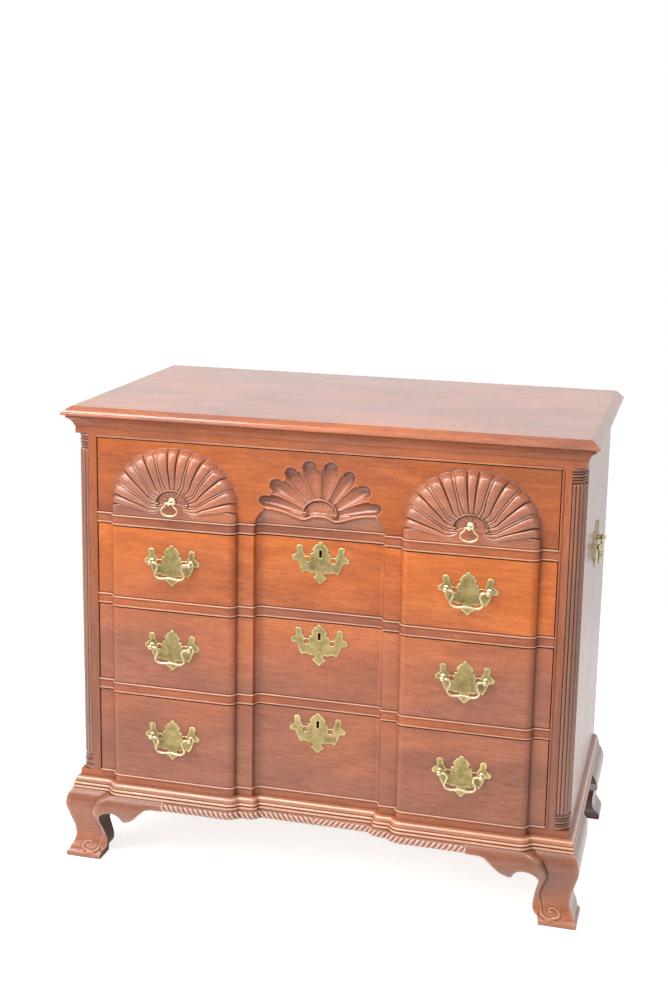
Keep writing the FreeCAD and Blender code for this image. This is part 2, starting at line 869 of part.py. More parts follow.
def make_gadroon_strip():
    """The carved strip hung under the base moulding, between the front feet."""
    high = float(MOULDING_Z)
    low = high - float(size("gadroon_height"))
    height = high - low
    start = float(size("base_moulding_reach"))
    reach = float(size("gadroon_reach"))
    levels = [(reach - 2.5, low)]
    levels += arc_steps(levels[-1], (reach, low + 0.45 * height), -0.6, 3)
    levels += arc_steps(levels[-1], (start, high), -1.4, 4)
    half_width = CASE_HALF - size("front_bracket_length")
    add_node(
        "gadroon_strip",
        add_shape("GadroonStrip", blocked_slab(half_width, size("foot_stock"), levels)),
    )


def foot_curve(extra):
    """The ogee of a foot from top to floor, as (stand-off, height) with extra added."""
    height = float(MOULDING_Z)
    bulge = float(size("foot_bulge"))
    waist = float(size("foot_waist"))
    pad = float(size("foot_pad_reach"))
    start = float(size("base_moulding_reach"))
    curve = [
        (start, height),
        (start + 0.80 * (bulge - start), 0.89 * height),
        (bulge, 0.79 * height),
        (waist + 0.60 * (bulge - waist), 0.61 * height),
        (waist + 0.10 * (bulge - waist), 0.42 * height),
        (waist, 0.32 * height),
        (waist + 0.13 * (pad - waist), 0.23 * height),
        (waist + 0.57 * (pad - waist), 0.14 * height),
        (pad - 1.5, 0.09 * height),
    ]
    toe = [(pad, 0.06 * height), (pad, 0.012 * height), (pad - 1.5, 0.0)]
    return [(reach + extra, level) for reach, level in curve], [
        (reach + extra, level) for reach, level in toe
    ]


def ogee_prism(extra, first, last):
    """The ogee stock of a front bracket, lying along X between two places."""
    curve, toe = foot_curve(extra)
    back = float(size("foot_stock"))
    points = [(first, -reach, level) for reach, level in curve]
    toe_points = [(first, -reach, level) for reach, level in toe]
    edges = [spline_edge(points)]
    path = [points[-1]] + toe_points + [(first, back, 0.0), (first, back, curve[0][1]), points[0]]
    for start, end in zip(path, path[1:]):
        edges.append(line_edge(start, end))
    return prism(Part.Wire(edges), (last - first, 0, 0))


def bracket_outline(leg_width, length, outer):
    """The sawn outline of a bracket: leg, arch and pendant, then a plain tail.

    Distances run from the leg's inner edge along the case's face, as shares of the
    sawn scroll's length; heights are shares of the foot.
    """
    height = float(MOULDING_Z)
    leg = float(leg_width)
    scroll = float(size("bracket_scroll_length"))

    def at(along, share):
        return (leg + along * scroll, 0, share * height)

    leg_edge = [
        at(0, 0), at(0.014, 0.10), at(0.097, 0.19), at(0.106, 0.27),
        at(0.069, 0.40), at(0.017, 0.55), at(0.009, 0.62),
    ]
    arch = [
        at(0.009, 0.62), at(0.037, 0.68), at(0.111, 0.73), at(0.222, 0.757),
        at(0.324, 0.75), at(0.398, 0.71), at(0.449, 0.63),
    ]
    pendant = [
        at(0.449, 0.63), at(0.481, 0.622), at(0.537, 0.635), at(0.630, 0.675), at(0.722, 0.745),
        at(0.824, 0.825), at(0.898, 0.872), at(1.000, 0.892),
    ]
    tail = (float(length), 0, 0.892 * height)
    top_in = (float(length), 0, height)
    top_out = (-outer, 0, height)
    floor_out = (-outer, 0, 0)
    edges = [spline_edge(leg_edge), spline_edge(arch), spline_edge(pendant)]
    corners = [pendant[-1], tail, top_in, top_out, floor_out, leg_edge[0]]
    for start, end in zip(corners, corners[1:]):
        edges.append(line_edge(start, end))
    return Part.Wire(edges)


def bracket_tool(leg_width, length):
    """The bracket outline as a cutting block, laid on the right half of the front."""
    outer = 2 * float(size("foot_pad_reach"))
    tool = prism(bracket_outline(leg_width, length, outer), (0, 8 * outer, 0))
    tool = tool.mirror(Vector(0, 0, 0), Vector(1, 0, 0))
    tool.translate(Vector(float(CASE_HALF), -4 * outer, 0))
    return tool


def raised_region():
    """The part of the right bracket on which the block is carried down, as a cutting block."""
    height = float(MOULDING_Z)
    leg = float(size("foot_leg_width"))
    corner = float(CASE_HALF)
    edge_in = float(size("block_outer") + size("raised_foot_spread"))

    def at(along, share):
        return (corner - leg * (1 + along), 0, share * height)

    step = [
        (edge_in, 0, height),
        at(0.045, 0.94), at(-0.182, 0.84), at(-0.295, 0.71), at(-0.261, 0.61),
        at(-0.091, 0.48), at(-0.023, 0.36), at(-0.045, 0.24), at(0.034, 0.14), at(0.273, 0.10),
    ]
    far = corner - float(size("front_bracket_length")) - 1.0
    edges = [spline_edge(step)]
    corners = [step[-1], (far, 0, step[-1][2]), (far, 0, height), step[0]]
    for start, end in zip(corners, corners[1:]):
        edges.append(line_edge(start, end))
    reach = 4 * float(size("foot_pad_reach"))
    block = prism(Part.Wire(edges), (0, 2 * reach, 0))
    block.translate(Vector(0, -reach, 0))
    return block


def mitre_swap(shape):
    """Swaps front and side at the right corner: the mirror image in the mitre plane."""
    swapped = shape.copy()
    plane_normal = Vector(1, 1, 0)
    return swapped.mirror(Vector(float(CASE_HALF), 0, 0), plane_normal)


def front_corner_wedge():
    """Everything on the front bracket's side of the right-hand mitre."""
    far = float(size("case_width"))
    corner = float(CASE_HALF)
    points = [
        Vector(corner + far, -far, 0),
        Vector(-far, -far, 0),
        Vector(-far, corner + far, 0),
    ]
    return prism(Part.makePolygon(points + points[:1]), (0, 0, float(MOULDING_Z)))


def make_front_feet():
    """Front feet: a blocked front bracket and a plain side bracket, mitred together."""
    corner = float(CASE_HALF)
    past_corner = corner + 2 * float(size("foot_pad_reach"))
    inner = corner - float(size("front_bracket_length"))
    wedge = front_corner_wedge()
    plain = ogee_prism(0.0, inner, past_corner)
    raised = ogee_prism(float(size("block_rise")), inner, past_corner).common(raised_region())
    outline = bracket_tool(size("foot_leg_width"), size("front_bracket_length"))
    front = plain.fuse(raised).common(outline).common(wedge)
    side_outline = bracket_tool(size("foot_leg_width"), size("side_bracket_length"))
    side = mitre_swap(plain.common(side_outline).common(wedge))
    foot = Part.makeCompound([front, side])
    add_node("foot_front_right", add_shape("FootFrontRight", foot))
    add_node("foot_front_left", add_shape("FootFrontLeft", mirrored(foot)))


def make_rear_feet():
    """Rear feet: an ogee side bracket cut square at the back, and a plain rear bracket."""
    corner = float(CASE_HALF)
    stock = float(size("foot_stock"))
    back = float(CASE_BACK)
    length = float(size("side_bracket_length"))
    leg = float(size("rear_leg_width"))
    ogee = ogee_prism(0.0, corner - length, corner)
    outline = bracket_tool(leg, length)
    side = mitre_swap(ogee.common(outline))
    side = side.mirror(Vector(0, 0, 0), Vector(0, 1, 0))
    side.translate(Vector(0, back, 0))

    height = float(MOULDING_Z)
    rear_length = float(size("rear_bracket_length"))
    outer = corner - stock
    foot_width = 0.30 * rear_length
    tail_height = 0.80 * height
    sweep = Part.Arc(
        Vector(outer - foot_width, back, 0),
        Vector(outer - 0.50 * rear_length, back, 0.55 * height),
        Vector(outer - rear_length, back, tail_height),
    ).toShape()
    corners = [
        (outer - rear_length, back, tail_height),
        (outer - rear_length, back, height),
        (outer, back, height),
        (outer, back, 0),
        (outer - foot_width, back, 0),
    ]
    edges = [sweep] + [line_edge(start, end) for start, end in zip(corners, corners[1:])]
    rear = prism(Part.Wire(edges), (0, -stock, 0))
    foot = Part.makeCompound([side, rear])
    add_node("foot_rear_right", add_shape("FootRearRight", foot))
    add_node("foot_rear_left", add_shape("FootRearLeft", mirrored(foot)))


def make_glue_blocks():
    """Square blocks glued into the inner corner of each foot."""
    side = size("glue_block_side")
    lift = size("glue_block_lift")
    inner = CASE_HALF - size("foot_stock") - side
    blocks = []
    for name, corner_y in (
        ("Front", size("foot_stock")),
        ("Rear", CASE_BACK - size("foot_stock") - side),
    ):
        block = add_box(
            f"GlueBlock{name}Right", (inner, corner_y, lift), (side, side, MOULDING_Z - lift)
        )
        blocks += [block, add_mirror(f"GlueBlock{name}Left", block)]
    add_node("glue_blocks", add_group("GlueBlocks", blocks))


# ---------------------------------------------------------------------------
# Brassware
# ---------------------------------------------------------------------------

# The batwing plate's right edge from its top point to its bottom point, as shares
# of half its width and half its height, with the rise of each arc to the next point.
PLATE_EDGE = [
    (0.000, 1.00, 0.014), (0.085, 0.92, -0.004), (0.110, 0.86, 0.016), (0.210, 0.78, 0.004),
    (0.290, 0.64, 0.014), (0.245, 0.52, -0.016), (0.330, 0.43, 0.022), (0.355, 0.31, -0.008),
    (0.400, 0.27, 0.006), (0.545, 0.28, 0.012), (0.545, 0.38, -0.010), (0.600, 0.50, -0.010),
    (0.610, 0.67, 0.045), (0.765, 0.78, 0.036), (0.855, 0.66, 0.008), (0.825, 0.50, -0.018),
    (0.880, 0.37, -0.004), (0.965, 0.28, 0.030), (0.990, 0.12, 0.020), (0.920, 0.04, -0.006),
    (0.815, 0.02, -0.010), (0.765, -0.12, -0.006), (0.710, -0.32, -0.006), (0.645, -0.46, 0.016),
    (0.585, -0.50, -0.014), (0.450, -0.45, -0.008), (0.320, -0.50, 0.014), (0.225, -0.48, -0.014),
    (0.145, -0.56, -0.010), (0.215, -0.66, 0.024), (0.205, -0.77, 0.000), (0.115, -0.86, 0.008),
    (0.000, -1.00, 0.000),
]


def plate_wire(half_width, half_height):
    """The plate's outline in the XZ plane about its own centre."""
    edges = []
    for (share_x, share_z, rise), (next_x, next_z, _) in zip(PLATE_EDGE, PLATE_EDGE[1:]):
        start = Vector(share_x * half_width, 0, share_z * half_height)
        end = Vector(next_x * half_width, 0, next_z * half_height)
        chord = end - start
        outward = Vector(-chord.z, 0, chord.x).normalize()
        middle = (start + end) * 0.5 + outward * (rise * half_width)
        if abs(rise) < 1e-6:
            edges.append(line_edge(start, end))
        else:
            edges.append(Part.Arc(start, middle, end).toShape())
    left = [mirrored(edge) for edge in edges]
    return Part.Wire(Part.__sortEdges__(edges + left))


def plate_solid(scale, holes=(), keyhole=False):
    """A batwing plate with its back on the XZ plane: two pierced eyes, bored or keyed."""
    half_width = float(size("plate_half_width")) * scale
    half_height = float(size("plate_half_height")) * scale
    thickness = float(size("plate_thickness"))
    plate = prism(plate_wire(half_width, half_height), (0, -thickness, 0))
    tools = [hole_tool(along, height, radius, thickness) for along, height, radius in holes]
    if keyhole:
        tools.append(keyhole_tool(thickness))
    eye = hole_tool(
        float(size("plate_eye_along")) * scale, float(size("plate_eye_rise")) * scale,
        float(size("plate_eye_radius")) * scale, thickness,
    )
    return plate.cut(tools + [eye, mirrored(eye)])


def hole_tool(along, height, radius, depth):
    """A round drill through a plate or board that stands in front of the XZ plane."""
    drill = Part.makeCylinder(radius, depth + 2, Vector(along, 1, height), Vector(0, -1, 0))
    return drill


def keyhole_tool(depth):
    """A keyhole about its own middle: a round head over a straight slot."""
    radius = float(size("keyhole_radius"))
    slot = float(size("keyhole_slot"))
    length = float(size("keyhole_length"))
    lift = float(size("keyhole_lift"))
    head_z = lift + length - radius
    head = Part.makeCylinder(radius, depth + 2, Vector(0, 1, head_z), Vector(0, -1, 0))
    foot = Part.makeBox(slot, depth + 2, head_z - lift, Vector(-slot / 2, -depth - 1, lift))
    return head.fuse(foot)


def post_solid(reach, ball, wood, bore_radius, bore_reach):
    """A turned post with its pierced ball, threaded shank and nut, about the plate's face.

    The plate's front face is at Y = 0, the wood behind it is wood thick to the nut.
    """
    neck = float(size("post_neck_radius"))
    foot = float(size("post_foot_radius"))
    foot_length = float(size("post_foot_length"))
    shank = float(size("shank_radius"))
    nut = float(size("nut_radius"))
    nut_length = float(size("nut_length"))
    outline = [
        Vector(0, wood + nut_length + 1.0, 0),
        Vector(shank, wood + nut_length + 1.0, 0),
        Vector(shank, 0, 0),
        Vector(foot, 0, 0),
        Vector(foot, -foot_length, 0),
        Vector(neck, -1.6 * foot_length, 0),
        Vector(neck, -reach, 0),
        Vector(0, -reach, 0),
    ]
    stem = Part.Face(Part.makePolygon(outline + outline[:1]))
    stem = stem.revolve(Vector(0, 0, 0), Vector(0, 1, 0), 360)
    head = Part.makeSphere(ball, Vector(0, -reach, 0))
    hexagon = [
        Vector(nut * math.cos(math.radians(60 * side)), wood, nut * math.sin(math.radians(60 * side)))
        for side in range(6)
    ]
    nut_body = prism(Part.makePolygon(hexagon + hexagon[:1]), (0, nut_length, 0))
    post = stem.fuse([head, nut_body])
    start, end = bore_reach
    bore = Part.makeCylinder(bore_radius, end - start, Vector(start, -reach, 0), Vector(1, 0, 0))
    return post.cut(bore)


def pull_posts(boring, reach, rise, wood, scale=1.0):
    """The two posts of a pull, each bored from its inner side for the bail's end."""
    ball = float(size("post_ball_radius")) * scale
    bore_radius = float(size("bail_wire_radius")) * scale + float(size("pivot_clearance"))
    right = post_solid(float(reach), ball, wood, bore_radius, (-2 * ball, 0.35 * ball))
    right.translate(Vector(float(boring) / 2, 0, float(rise)))
    return [right, mirrored(right)]


def bail_solid(boring, reach, rise, scale=1.0):
    """A swan-neck bail about the pull's centre: its ends turn outwards into the posts."""
    half = float(boring) / 2
    spread = half / (float(size("pull_boring")) / 2)
    neck = float(size("bail_neck_half")) * spread
    waist = float(size("bail_waist_half")) * spread
    belly = float(size("bail_belly_half")) * spread
    drop = float(size("bail_drop")) * scale
    cusp = float(size("bail_cusp")) * scale
    wire = float(size("bail_wire_radius")) * scale
    pivot_y = -float(reach)
    pivot_z = float(rise)

    def at(along, fall):
        return (along, pivot_y, pivot_z - fall)

    pin_end = at(half, 0)
    pin_root = at(neck + 3.0 * scale, 0)
    side = [
        pin_root, at(neck, 0.8 * scale), at(waist, 0.17 * drop),
        at(waist + 0.3 * scale, 0.34 * drop), at(belly - 1.0 * scale, 0.56 * drop),
        at(belly, 0.72 * drop), at(belly - 4.0 * scale, 0.94 * drop),
        at(0.45 * belly, drop), at(0, drop - cusp),
    ]
    path = side + [(-x, y, z) for x, y, z in reversed(side[:-1])]
    curve = Part.BSplineCurve()
    curve.interpolate(
        [Vector(*point) for point in path],
        InitialTangent=Vector(-1, 0, 0), FinalTangent=Vector(-1, 0, 0), Scale=False,
    )
    left_end = (-pin_end[0], pin_end[1], pin_end[2])
    left_root = (-pin_root[0], pin_root[1], pin_root[2])
    spine = Part.Wire([line_edge(pin_end, pin_root), curve.toShape(), line_edge(left_root, left_end)])
    circle = Part.Wire(Part.makeCircle(wire, Vector(*pin_end), Vector(1, 0, 0)))
    return spine.makePipeShell([circle], True, False)


def drop_post():
    """The single post of a small drop pull, with its rosette, shank and nut."""
    reach = float(size("drop_post_reach"))
    ball = float(size("drop_ball_radius"))
    wood = shell_wood()
    bore = float(size("drop_wire_radius")) + float(size("pivot_clearance"))
    return post_solid(reach, ball, wood, bore, (-2 * ball, 2 * ball))


def drop_bail():
    """The small bail: two arms spread from its post's sides into a wide shallow bow."""
    half = float(size("drop_half_width"))
    neck = float(size("drop_neck_half"))
    fall = float(size("drop_length"))
    shoulder = float(size("drop_shoulder"))
    wire = float(size("drop_wire_radius"))
    pivot_y = -float(size("drop_post_reach"))
    spread = half - neck

    def at(along, down):
        return Vector(along, pivot_y, -down)

    side = [
        at(neck, 0), at(neck + 0.10 * spread, 0.40 * shoulder),
        at(neck + 0.42 * spread, 0.85 * shoulder), at(half - 0.10 * spread, 1.35 * shoulder),
        at(half, 0.62 * fall), at(0.76 * half, 0.86 * fall), at(0.36 * half, 0.98 * fall),
        at(0, fall),
    ]
    path = side + [Vector(-point.x, point.y, point.z) for point in reversed(side[:-1])]
    bow_line = Part.BSplineCurve()
    bow_line.interpolate(
        path, InitialTangent=Vector(0, 0, -1), FinalTangent=Vector(0, 0, 1), Scale=False
    )
    circle = Part.Wire(Part.makeCircle(wire, at(neck, 0), Vector(0, 0, 1)))
    bow = Part.Wire(bow_line.toShape()).makePipeShell([circle], True, False)
    pivot = Part.makeCylinder(wire, 2 * neck, at(-neck, 0), Vector(1, 0, 0))
    corners = [Part.makeSphere(wire, at(along, 0)) for along in (-neck, neck)]
    return bow.fuse([pivot] + corners)


def shell_wood():
    """Thickness from the face of a drop pull's rosette to the back of the drawer front."""
    return float(size("front_thickness")) - drop_face()


def drop_face():
    """Where the front of the drop pull's rosette lies: just proud of the blocked face."""
    return float(BLOCK_FACE) - float(size("plate_thickness"))


def pull_height(number):
    """Height of the middle of a drawer's pulls."""
    return (OPENING_BOTTOM[number] + OPENING_TOP[number]) / 2


def shell_centre():
    """Height of the point that the shells fan out from."""
    return float(OPENING_TOP[1]) - float(size("shell_drop"))


def moved(shape, along, back, height):
    """A copy of a shape moved to a place."""
    copy = shape.copy()
    copy.translate(Vector(float(along), float(back), float(height)))
    return copy


# ---------------------------------------------------------------------------
# Drawers
# ---------------------------------------------------------------------------


def drawer_bottom_z(number):
    """Underside of a drawer's sides, just clear of the runners."""
    return OPENING_BOTTOM[number] + size("runner_clearance")


def drawer_half():
    """Half the width of a drawer."""
    return OPENING_HALF - size("drawer_side_gap")


def front_blank(number):
    """A drawer front from the blank: blocked over its whole height."""
    low = float(OPENING_BOTTOM[number] + size("drawer_bottom_gap"))
    high = float(OPENING_TOP[number] - size("drawer_top_gap"))
    return blocked_slab(drawer_half(), size("front_thickness"), [(0.0, low), (0.0, high)])


def half_ellipse_wire(half_width, height, place):
    """The upper half of an ellipse in an upright plane, closed along its base."""
    middle = Vector(0, place, height)
    if half_width > height:
        ellipse = Part.Ellipse(Vector(half_width, place, 0), middle, Vector(0, place, 0))
        curve = Part.ArcOfEllipse(ellipse, 0, math.pi).toShape()
    else:
        side = Vector(-half_width, place, 0)
        ellipse = Part.Ellipse(middle, side, Vector(0, place, 0))
        curve = Part.ArcOfEllipse(ellipse, -math.pi / 2, math.pi / 2).toShape()
    ends = [vertex.Point for vertex in curve.Vertexes]
    return Part.Wire([curve, line_edge(ends[1], ends[0])])


def shell_dome(half_width, height, rise, root):
    """The plain domed form of a carved shell, fanned upwards, rising along Y from its root."""
    sign = 1.0 if rise > 0 else -1.0
    wires = [half_ellipse_wire(half_width, height, -sign * root)]
    for share in (0.0, 0.30, 0.55, 0.75, 0.90, 0.98):
        spread = math.sqrt(1 - share * share)
        wires.append(half_ellipse_wire(half_width * spread, height * spread, rise * share))
    return Part.makeLoft(wires, True, True)


def shell_front():
    """The top drawer's front: raised shells over the blocks, a sunk shell over the recess."""
    low = float(OPENING_BOTTOM[1] + size("drawer_bottom_gap"))
    high = float(OPENING_TOP[1] - size("drawer_top_gap"))
    half = float(drawer_half())
    back = float(size("front_thickness"))
    centre_z = shell_centre()
    lower = blocked_slab(half, back, [(0.0, low), (0.0, centre_z)])
    upper = Part.makeBox(2 * half, back, high - centre_z, Vector(-half, 0, centre_z))
    dome = shell_dome(
        float(size("shell_half_width")), float(size("shell_height")),
        -float(size("shell_rise")), SHELL_ROOT,
    )
    seat_radius = float(size("shell_seat_radius"))
    seat = Part.makeCylinder(
        seat_radius, float(size("shell_rise")), Vector(0, float(BLOCK_FACE), 0), Vector(0, -1, 0)
    )
    dome = dome.cut(seat)
    blank = lower.fuse(upper)
    for side in (-1, 1):
        blank = blank.fuse(moved(dome, side * float(BLOCK_CENTRE), 0, centre_z))
    hollow = shell_dome(
        float(size("hollow_half_width")), float(size("hollow_height")),
        float(size("recess_fall")), SHELL_ROOT,
    )
    return blank.cut(moved(hollow, 0, 0, centre_z))


def tail_tools(number):
    """The dovetails of both sides of a drawer, as the wedges let into its front."""
    low = float(drawer_bottom_z(number))
    high = float(OPENING_TOP[number] - size("drawer_side_drop"))
    depth = float(size("tail_depth"))
    front = float(size("front_thickness"))
    thickness = float(size("drawer_side_thickness"))
    outer = float(drawer_half())
    margin = float(size("tail_margin"))
    first = low + float(size("drawer_bottom_lift")) + float(size("drawer_bottom_thickness")) + margin
    count = max(2, int((high - first) // 32))
    pitch = (high - margin - first) / count
    tails = []
    for index in range(count):
        middle = first + pitch * (index + 0.5)
        root = 0.30 * pitch
        tip = 0.40 * pitch
        points = [
            Vector(outer - thickness, front, middle - root),
            Vector(outer - thickness, front - depth, middle - tip),
            Vector(outer - thickness, front - depth, middle + tip),
            Vector(outer - thickness, front, middle + root),
        ]
        tail = prism(Part.makePolygon(points + points[:1]), (thickness, 0, 0))
        tails += [tail, mirrored(tail)]
    return tails


def make_drawer_box(number, tails):
    """The sides and back of a drawer, grooved for its bottom and dovetailed to its front."""
    low = float(drawer_bottom_z(number))
    high = float(OPENING_TOP[number] - size("drawer_side_drop"))
    front = float(size("front_thickness"))
    length = float(DRAWER_LENGTH)
    thickness = float(size("drawer_side_thickness"))
    back_thickness = float(size("drawer_back_thickness"))
    outer = float(drawer_half())
    groove_low = low + float(size("drawer_bottom_lift"))
    groove_high = groove_low + float(size("drawer_bottom_thickness"))
    groove = float(size("groove_depth"))
    side = Part.makeBox(thickness, length, high - low, Vector(outer - thickness, front, low))
    slot = Part.makeBox(
        groove, length, groove_high - groove_low, Vector(outer - thickness, front, groove_low)
    )
    right = side.cut(slot).fuse([tail for tail in tails if tail.BoundBox.XMin > 0])
    back = Part.makeBox(
        2 * (outer - thickness), back_thickness, high - groove_high,
        Vector(thickness - outer, front + length - back_thickness, groove_high),
    )
    box = Part.makeCompound([right, mirrored(right), back])
    add_node(f"drawer_{number}_box", add_shape(f"DrawerBox{number}", box))
    reach = size("drawer_side_thickness") - size("groove_depth")
    bottom = add_box(
        f"DrawerBottom{number}",
        (
            reach - drawer_half(), size("front_thickness") - size("groove_depth"),
            drawer_bottom_z(number) + size("drawer_bottom_lift"),
        ),
        (
            (drawer_half() - reach) * 2, DRAWER_LENGTH + size("groove_depth"),
            size("drawer_bottom_thickness"),
        ),
    )
    add_node(f"drawer_{number}_bottom", bottom)


def bottom_groove(number):
    """The groove in the back of a drawer front that takes the bottom's front edge."""
    low = float(drawer_bottom_z(number) + size("drawer_bottom_lift"))
    front = float(size("front_thickness"))
    groove = float(size("groove_depth"))
    half = float(drawer_half() - size("drawer_side_thickness") + size("groove_depth"))
    return Part.makeBox(
        2 * half, groove, float(size("drawer_bottom_thickness")), Vector(-half, front - groove, low)
    )


def shank_holes(places):
    """Clear holes through a drawer front for the shanks of its posts."""
    radius = float(size("shank_radius")) + float(size("shank_clearance"))
    depth = 4 * float(size("front_thickness"))
    return [
        Part.makeCylinder(radius, depth, Vector(along, depth / 2, height), Vector(0, -1, 0))
        for along, height in places
    ]


def make_top_drawer():
    """The shell-carved top drawer, with two small drop pulls and no lock."""
    number = 1
    tails = tail_tools(number)
    height = shell_centre() + float(size("drop_pull_rise"))
    places = [(side * float(BLOCK_CENTRE), height) for side in (-1, 1)]
    front = shell_front().cut(tails + [bottom_groove(number)] + shank_holes(places))
    add_node("drawer_1_front", add_shape("DrawerFront1", front))
    make_drawer_box(number, tails)
    thickness = float(size("plate_thickness"))
    clear = float(size("shank_radius")) + float(size("shank_clearance"))
    rosette = Part.makeCylinder(
        float(size("drop_plate_radius")), shell_seat() - drop_face(), Vector(0, shell_seat(), 0),
        Vector(0, -1, 0),
    )
    rosette = rosette.cut(hole_tool(0, 0, clear, 4 * thickness + float(size("shell_rise"))))
    rosettes = [moved(rosette, along, 0, level) for along, level in places]
    add_node("drawer_1_plates", add_shape("DrawerPlates1", Part.makeCompound(rosettes)))
    posts = [moved(drop_post(), along, drop_face(), level) for along, level in places]
    add_node("drawer_1_posts", add_shape("DrawerPosts1", Part.makeCompound(posts)))
    for name, (along, level) in zip(("left", "right"), places):
        bail = moved(drop_bail(), along, drop_face(), level)
        add_node(f"drawer_1_bail_{name}", add_shape(f"DrawerBail1{name}", bail))


def shell_seat():
    """The face that the drop pull's rosette is seated on: the blocked face under the shell."""
    return float(BLOCK_FACE)


def make_lock(number):
    """A drawer's lock and its bolt, let against the back of the front at the middle."""
    top = OPENING_TOP[number] - size("drawer_top_gap")
    width = size("lock_width")
    case = add_box(
        f"LockCase{number}",
        (width / -2, size("front_thickness"), top - size("lock_height")),
        (width, size("lock_thickness"), size("lock_height")),
    )
    slot_width = size("bolt_width") + size("bolt_clearance") * 2
    slot = add_box(
        f"LockSlot{number}",
        (
            slot_width / -2, bolt_front() - size("bolt_clearance"),
            top - size("bolt_height") - size("bolt_clearance"),
        ),
        (
            slot_width, size("bolt_thickness") + size("bolt_clearance") * 2,
            size("bolt_height") + 1.0,
        ),
    )
    add_node(f"drawer_{number}_lock", add_cut(f"Lock{number}", case, slot))
    bolt = add_box(
        f"LockBolt{number}",
        (size("bolt_width") / -2, bolt_front(), top - size("bolt_height")),
        (size("bolt_width"), size("bolt_thickness"), size("bolt_height")),
    )
    add_node(f"drawer_{number}_lock_bolt", bolt)


def make_lower_drawer(number):
    """A blocked drawer with two bail pulls, a keyhole escutcheon and a lock."""
    tails = tail_tools(number)
    pull_z = float(pull_height(number))
    escutcheon_z = float(OPENING_TOP[number] - size("escutcheon_drop"))
    half_boring = float(size("pull_boring")) / 2
    post_z = pull_z + float(size("post_rise"))
    post_places = [
        (side * float(BLOCK_CENTRE) + end * half_boring, post_z)
        for side in (-1, 1)
        for end in (-1, 1)
    ]
    front_thickness = float(size("front_thickness"))
    keyhole = moved(keyhole_tool(2 * front_thickness), 0, front_thickness, escutcheon_z)
    cuts = tails + [bottom_groove(number), keyhole] + shank_holes(post_places)
    front = front_blank(number).cut(cuts)
    add_node(f"drawer_{number}_front", add_shape(f"DrawerFront{number}", front))
    make_drawer_box(number, tails)

    clear = float(size("shank_radius")) + float(size("shank_clearance"))
    lift = float(size("post_rise"))
    pull_plate = plate_solid(1.0, [(-half_boring, lift, clear), (half_boring, lift, clear)])
    plates = [
        moved(pull_plate, side * float(BLOCK_CENTRE), BLOCK_FACE, pull_z) for side in (-1, 1)
    ]
    plates.append(moved(plate_solid(1.0, keyhole=True), 0, RECESS_FACE, escutcheon_z))
    add_node(f"drawer_{number}_plates", add_shape(f"DrawerPlates{number}", Part.makeCompound(plates)))

    wood = front_thickness - float(PLATE_FACE)
    posts = []
    for side in (-1, 1):
        for post in pull_posts(size("pull_boring"), size("post_reach"), size("post_rise"), wood):
            posts.append(moved(post, side * float(BLOCK_CENTRE), PLATE_FACE, pull_z))
    add_node(f"drawer_{number}_posts", add_shape(f"DrawerPosts{number}", Part.makeCompound(posts)))
    bail = bail_solid(size("pull_boring"), size("post_reach"), size("post_rise"))
    for name, side in (("left", -1), ("right", 1)):
        placed = moved(bail, side * float(BLOCK_CENTRE), PLATE_FACE, pull_z)
        add_node(f"drawer_{number}_bail_{name}", add_shape(f"DrawerBail{number}{name}", placed))
    make_lock(number)


# ---------------------------------------------------------------------------
# Carrying handles
# ---------------------------------------------------------------------------


def on_right_side(shape):
    """Turns a shape made for the front so that it lies on the right-hand side panel."""
    turned = shape.copy()
    turned.rotate(Vector(0, 0, 0), Vector(0, 0, 1), 90)
    turned.translate(
        Vector(float(CASE_HALF), float(size("handle_centre_y")), float(size("handle_centre_z")))
    )
    return turned


def make_handles():
    """A larger bail handle on each side of the case."""
    scale = float(size("handle_scale"))
    boring = size("handle_boring")
    reach = size("handle_post_reach")
    rise = size("handle_post_rise")
    half_boring = float(boring) / 2
    lift = float(rise)
    clear = float(size("shank_radius")) + float(size("shank_clearance"))
    thickness = float(size("plate_thickness"))
    plate = plate_solid(scale, [(-half_boring, lift, clear), (half_boring, lift, clear)])
    right_plate = on_right_side(plate)
    add_node(
        "side_handle_plates",
        add_shape("HandlePlates", Part.makeCompound([right_plate, mirrored(right_plate)])),
    )
    wood = float(size("side_thickness")) + thickness
    posts = []
    for post in pull_posts(boring, reach, rise, wood, scale):
        right_post = on_right_side(moved(post, 0, -thickness, 0))
        posts += [right_post, mirrored(right_post)]
    add_node("side_handle_posts", add_shape("HandlePosts", Part.makeCompound(posts)))
    bail = on_right_side(moved(bail_solid(boring, reach, rise, scale), 0, -thickness, 0))
    add_node("side_bail_right", add_shape("SideBailRight", bail))
    add_node("side_bail_left", add_shape("SideBailLeft", mirrored(bail)))


def bore_side_panels():
    """Holes through the side panels for the handles' shanks."""
    radius = size("shank_radius") + size("shank_clearance")
    height = size("handle_centre_z") + size("handle_post_rise")
    for node in [piece for piece in NODES if piece.Label.startswith("side_panel_")]:
        drills = [
            add_cylinder(
                f"{node.Name}_drill{index}",
                (-CASE_HALF if node.Label.endswith("left") else INNER_HALF,
                 size("handle_centre_y") + size("handle_boring") * share, height),
                radius, size("side_thickness"), "+X",
            )
            for index, share in enumerate((-0.5, 0.5))
        ]
        name = node.Label
        NODES.remove(node)
        node.Label = name + "_blank"
        node.setExpression("Placement.Base.y", text_of(size("column_radius")))
        tool = add_group(f"{node.Name}_drills", drills)
        add_node(name, add_cut(f"{node.Name}_bored", node, tool))


# ---------------------------------------------------------------------------
# Building, checking and writing
# ---------------------------------------------------------------------------


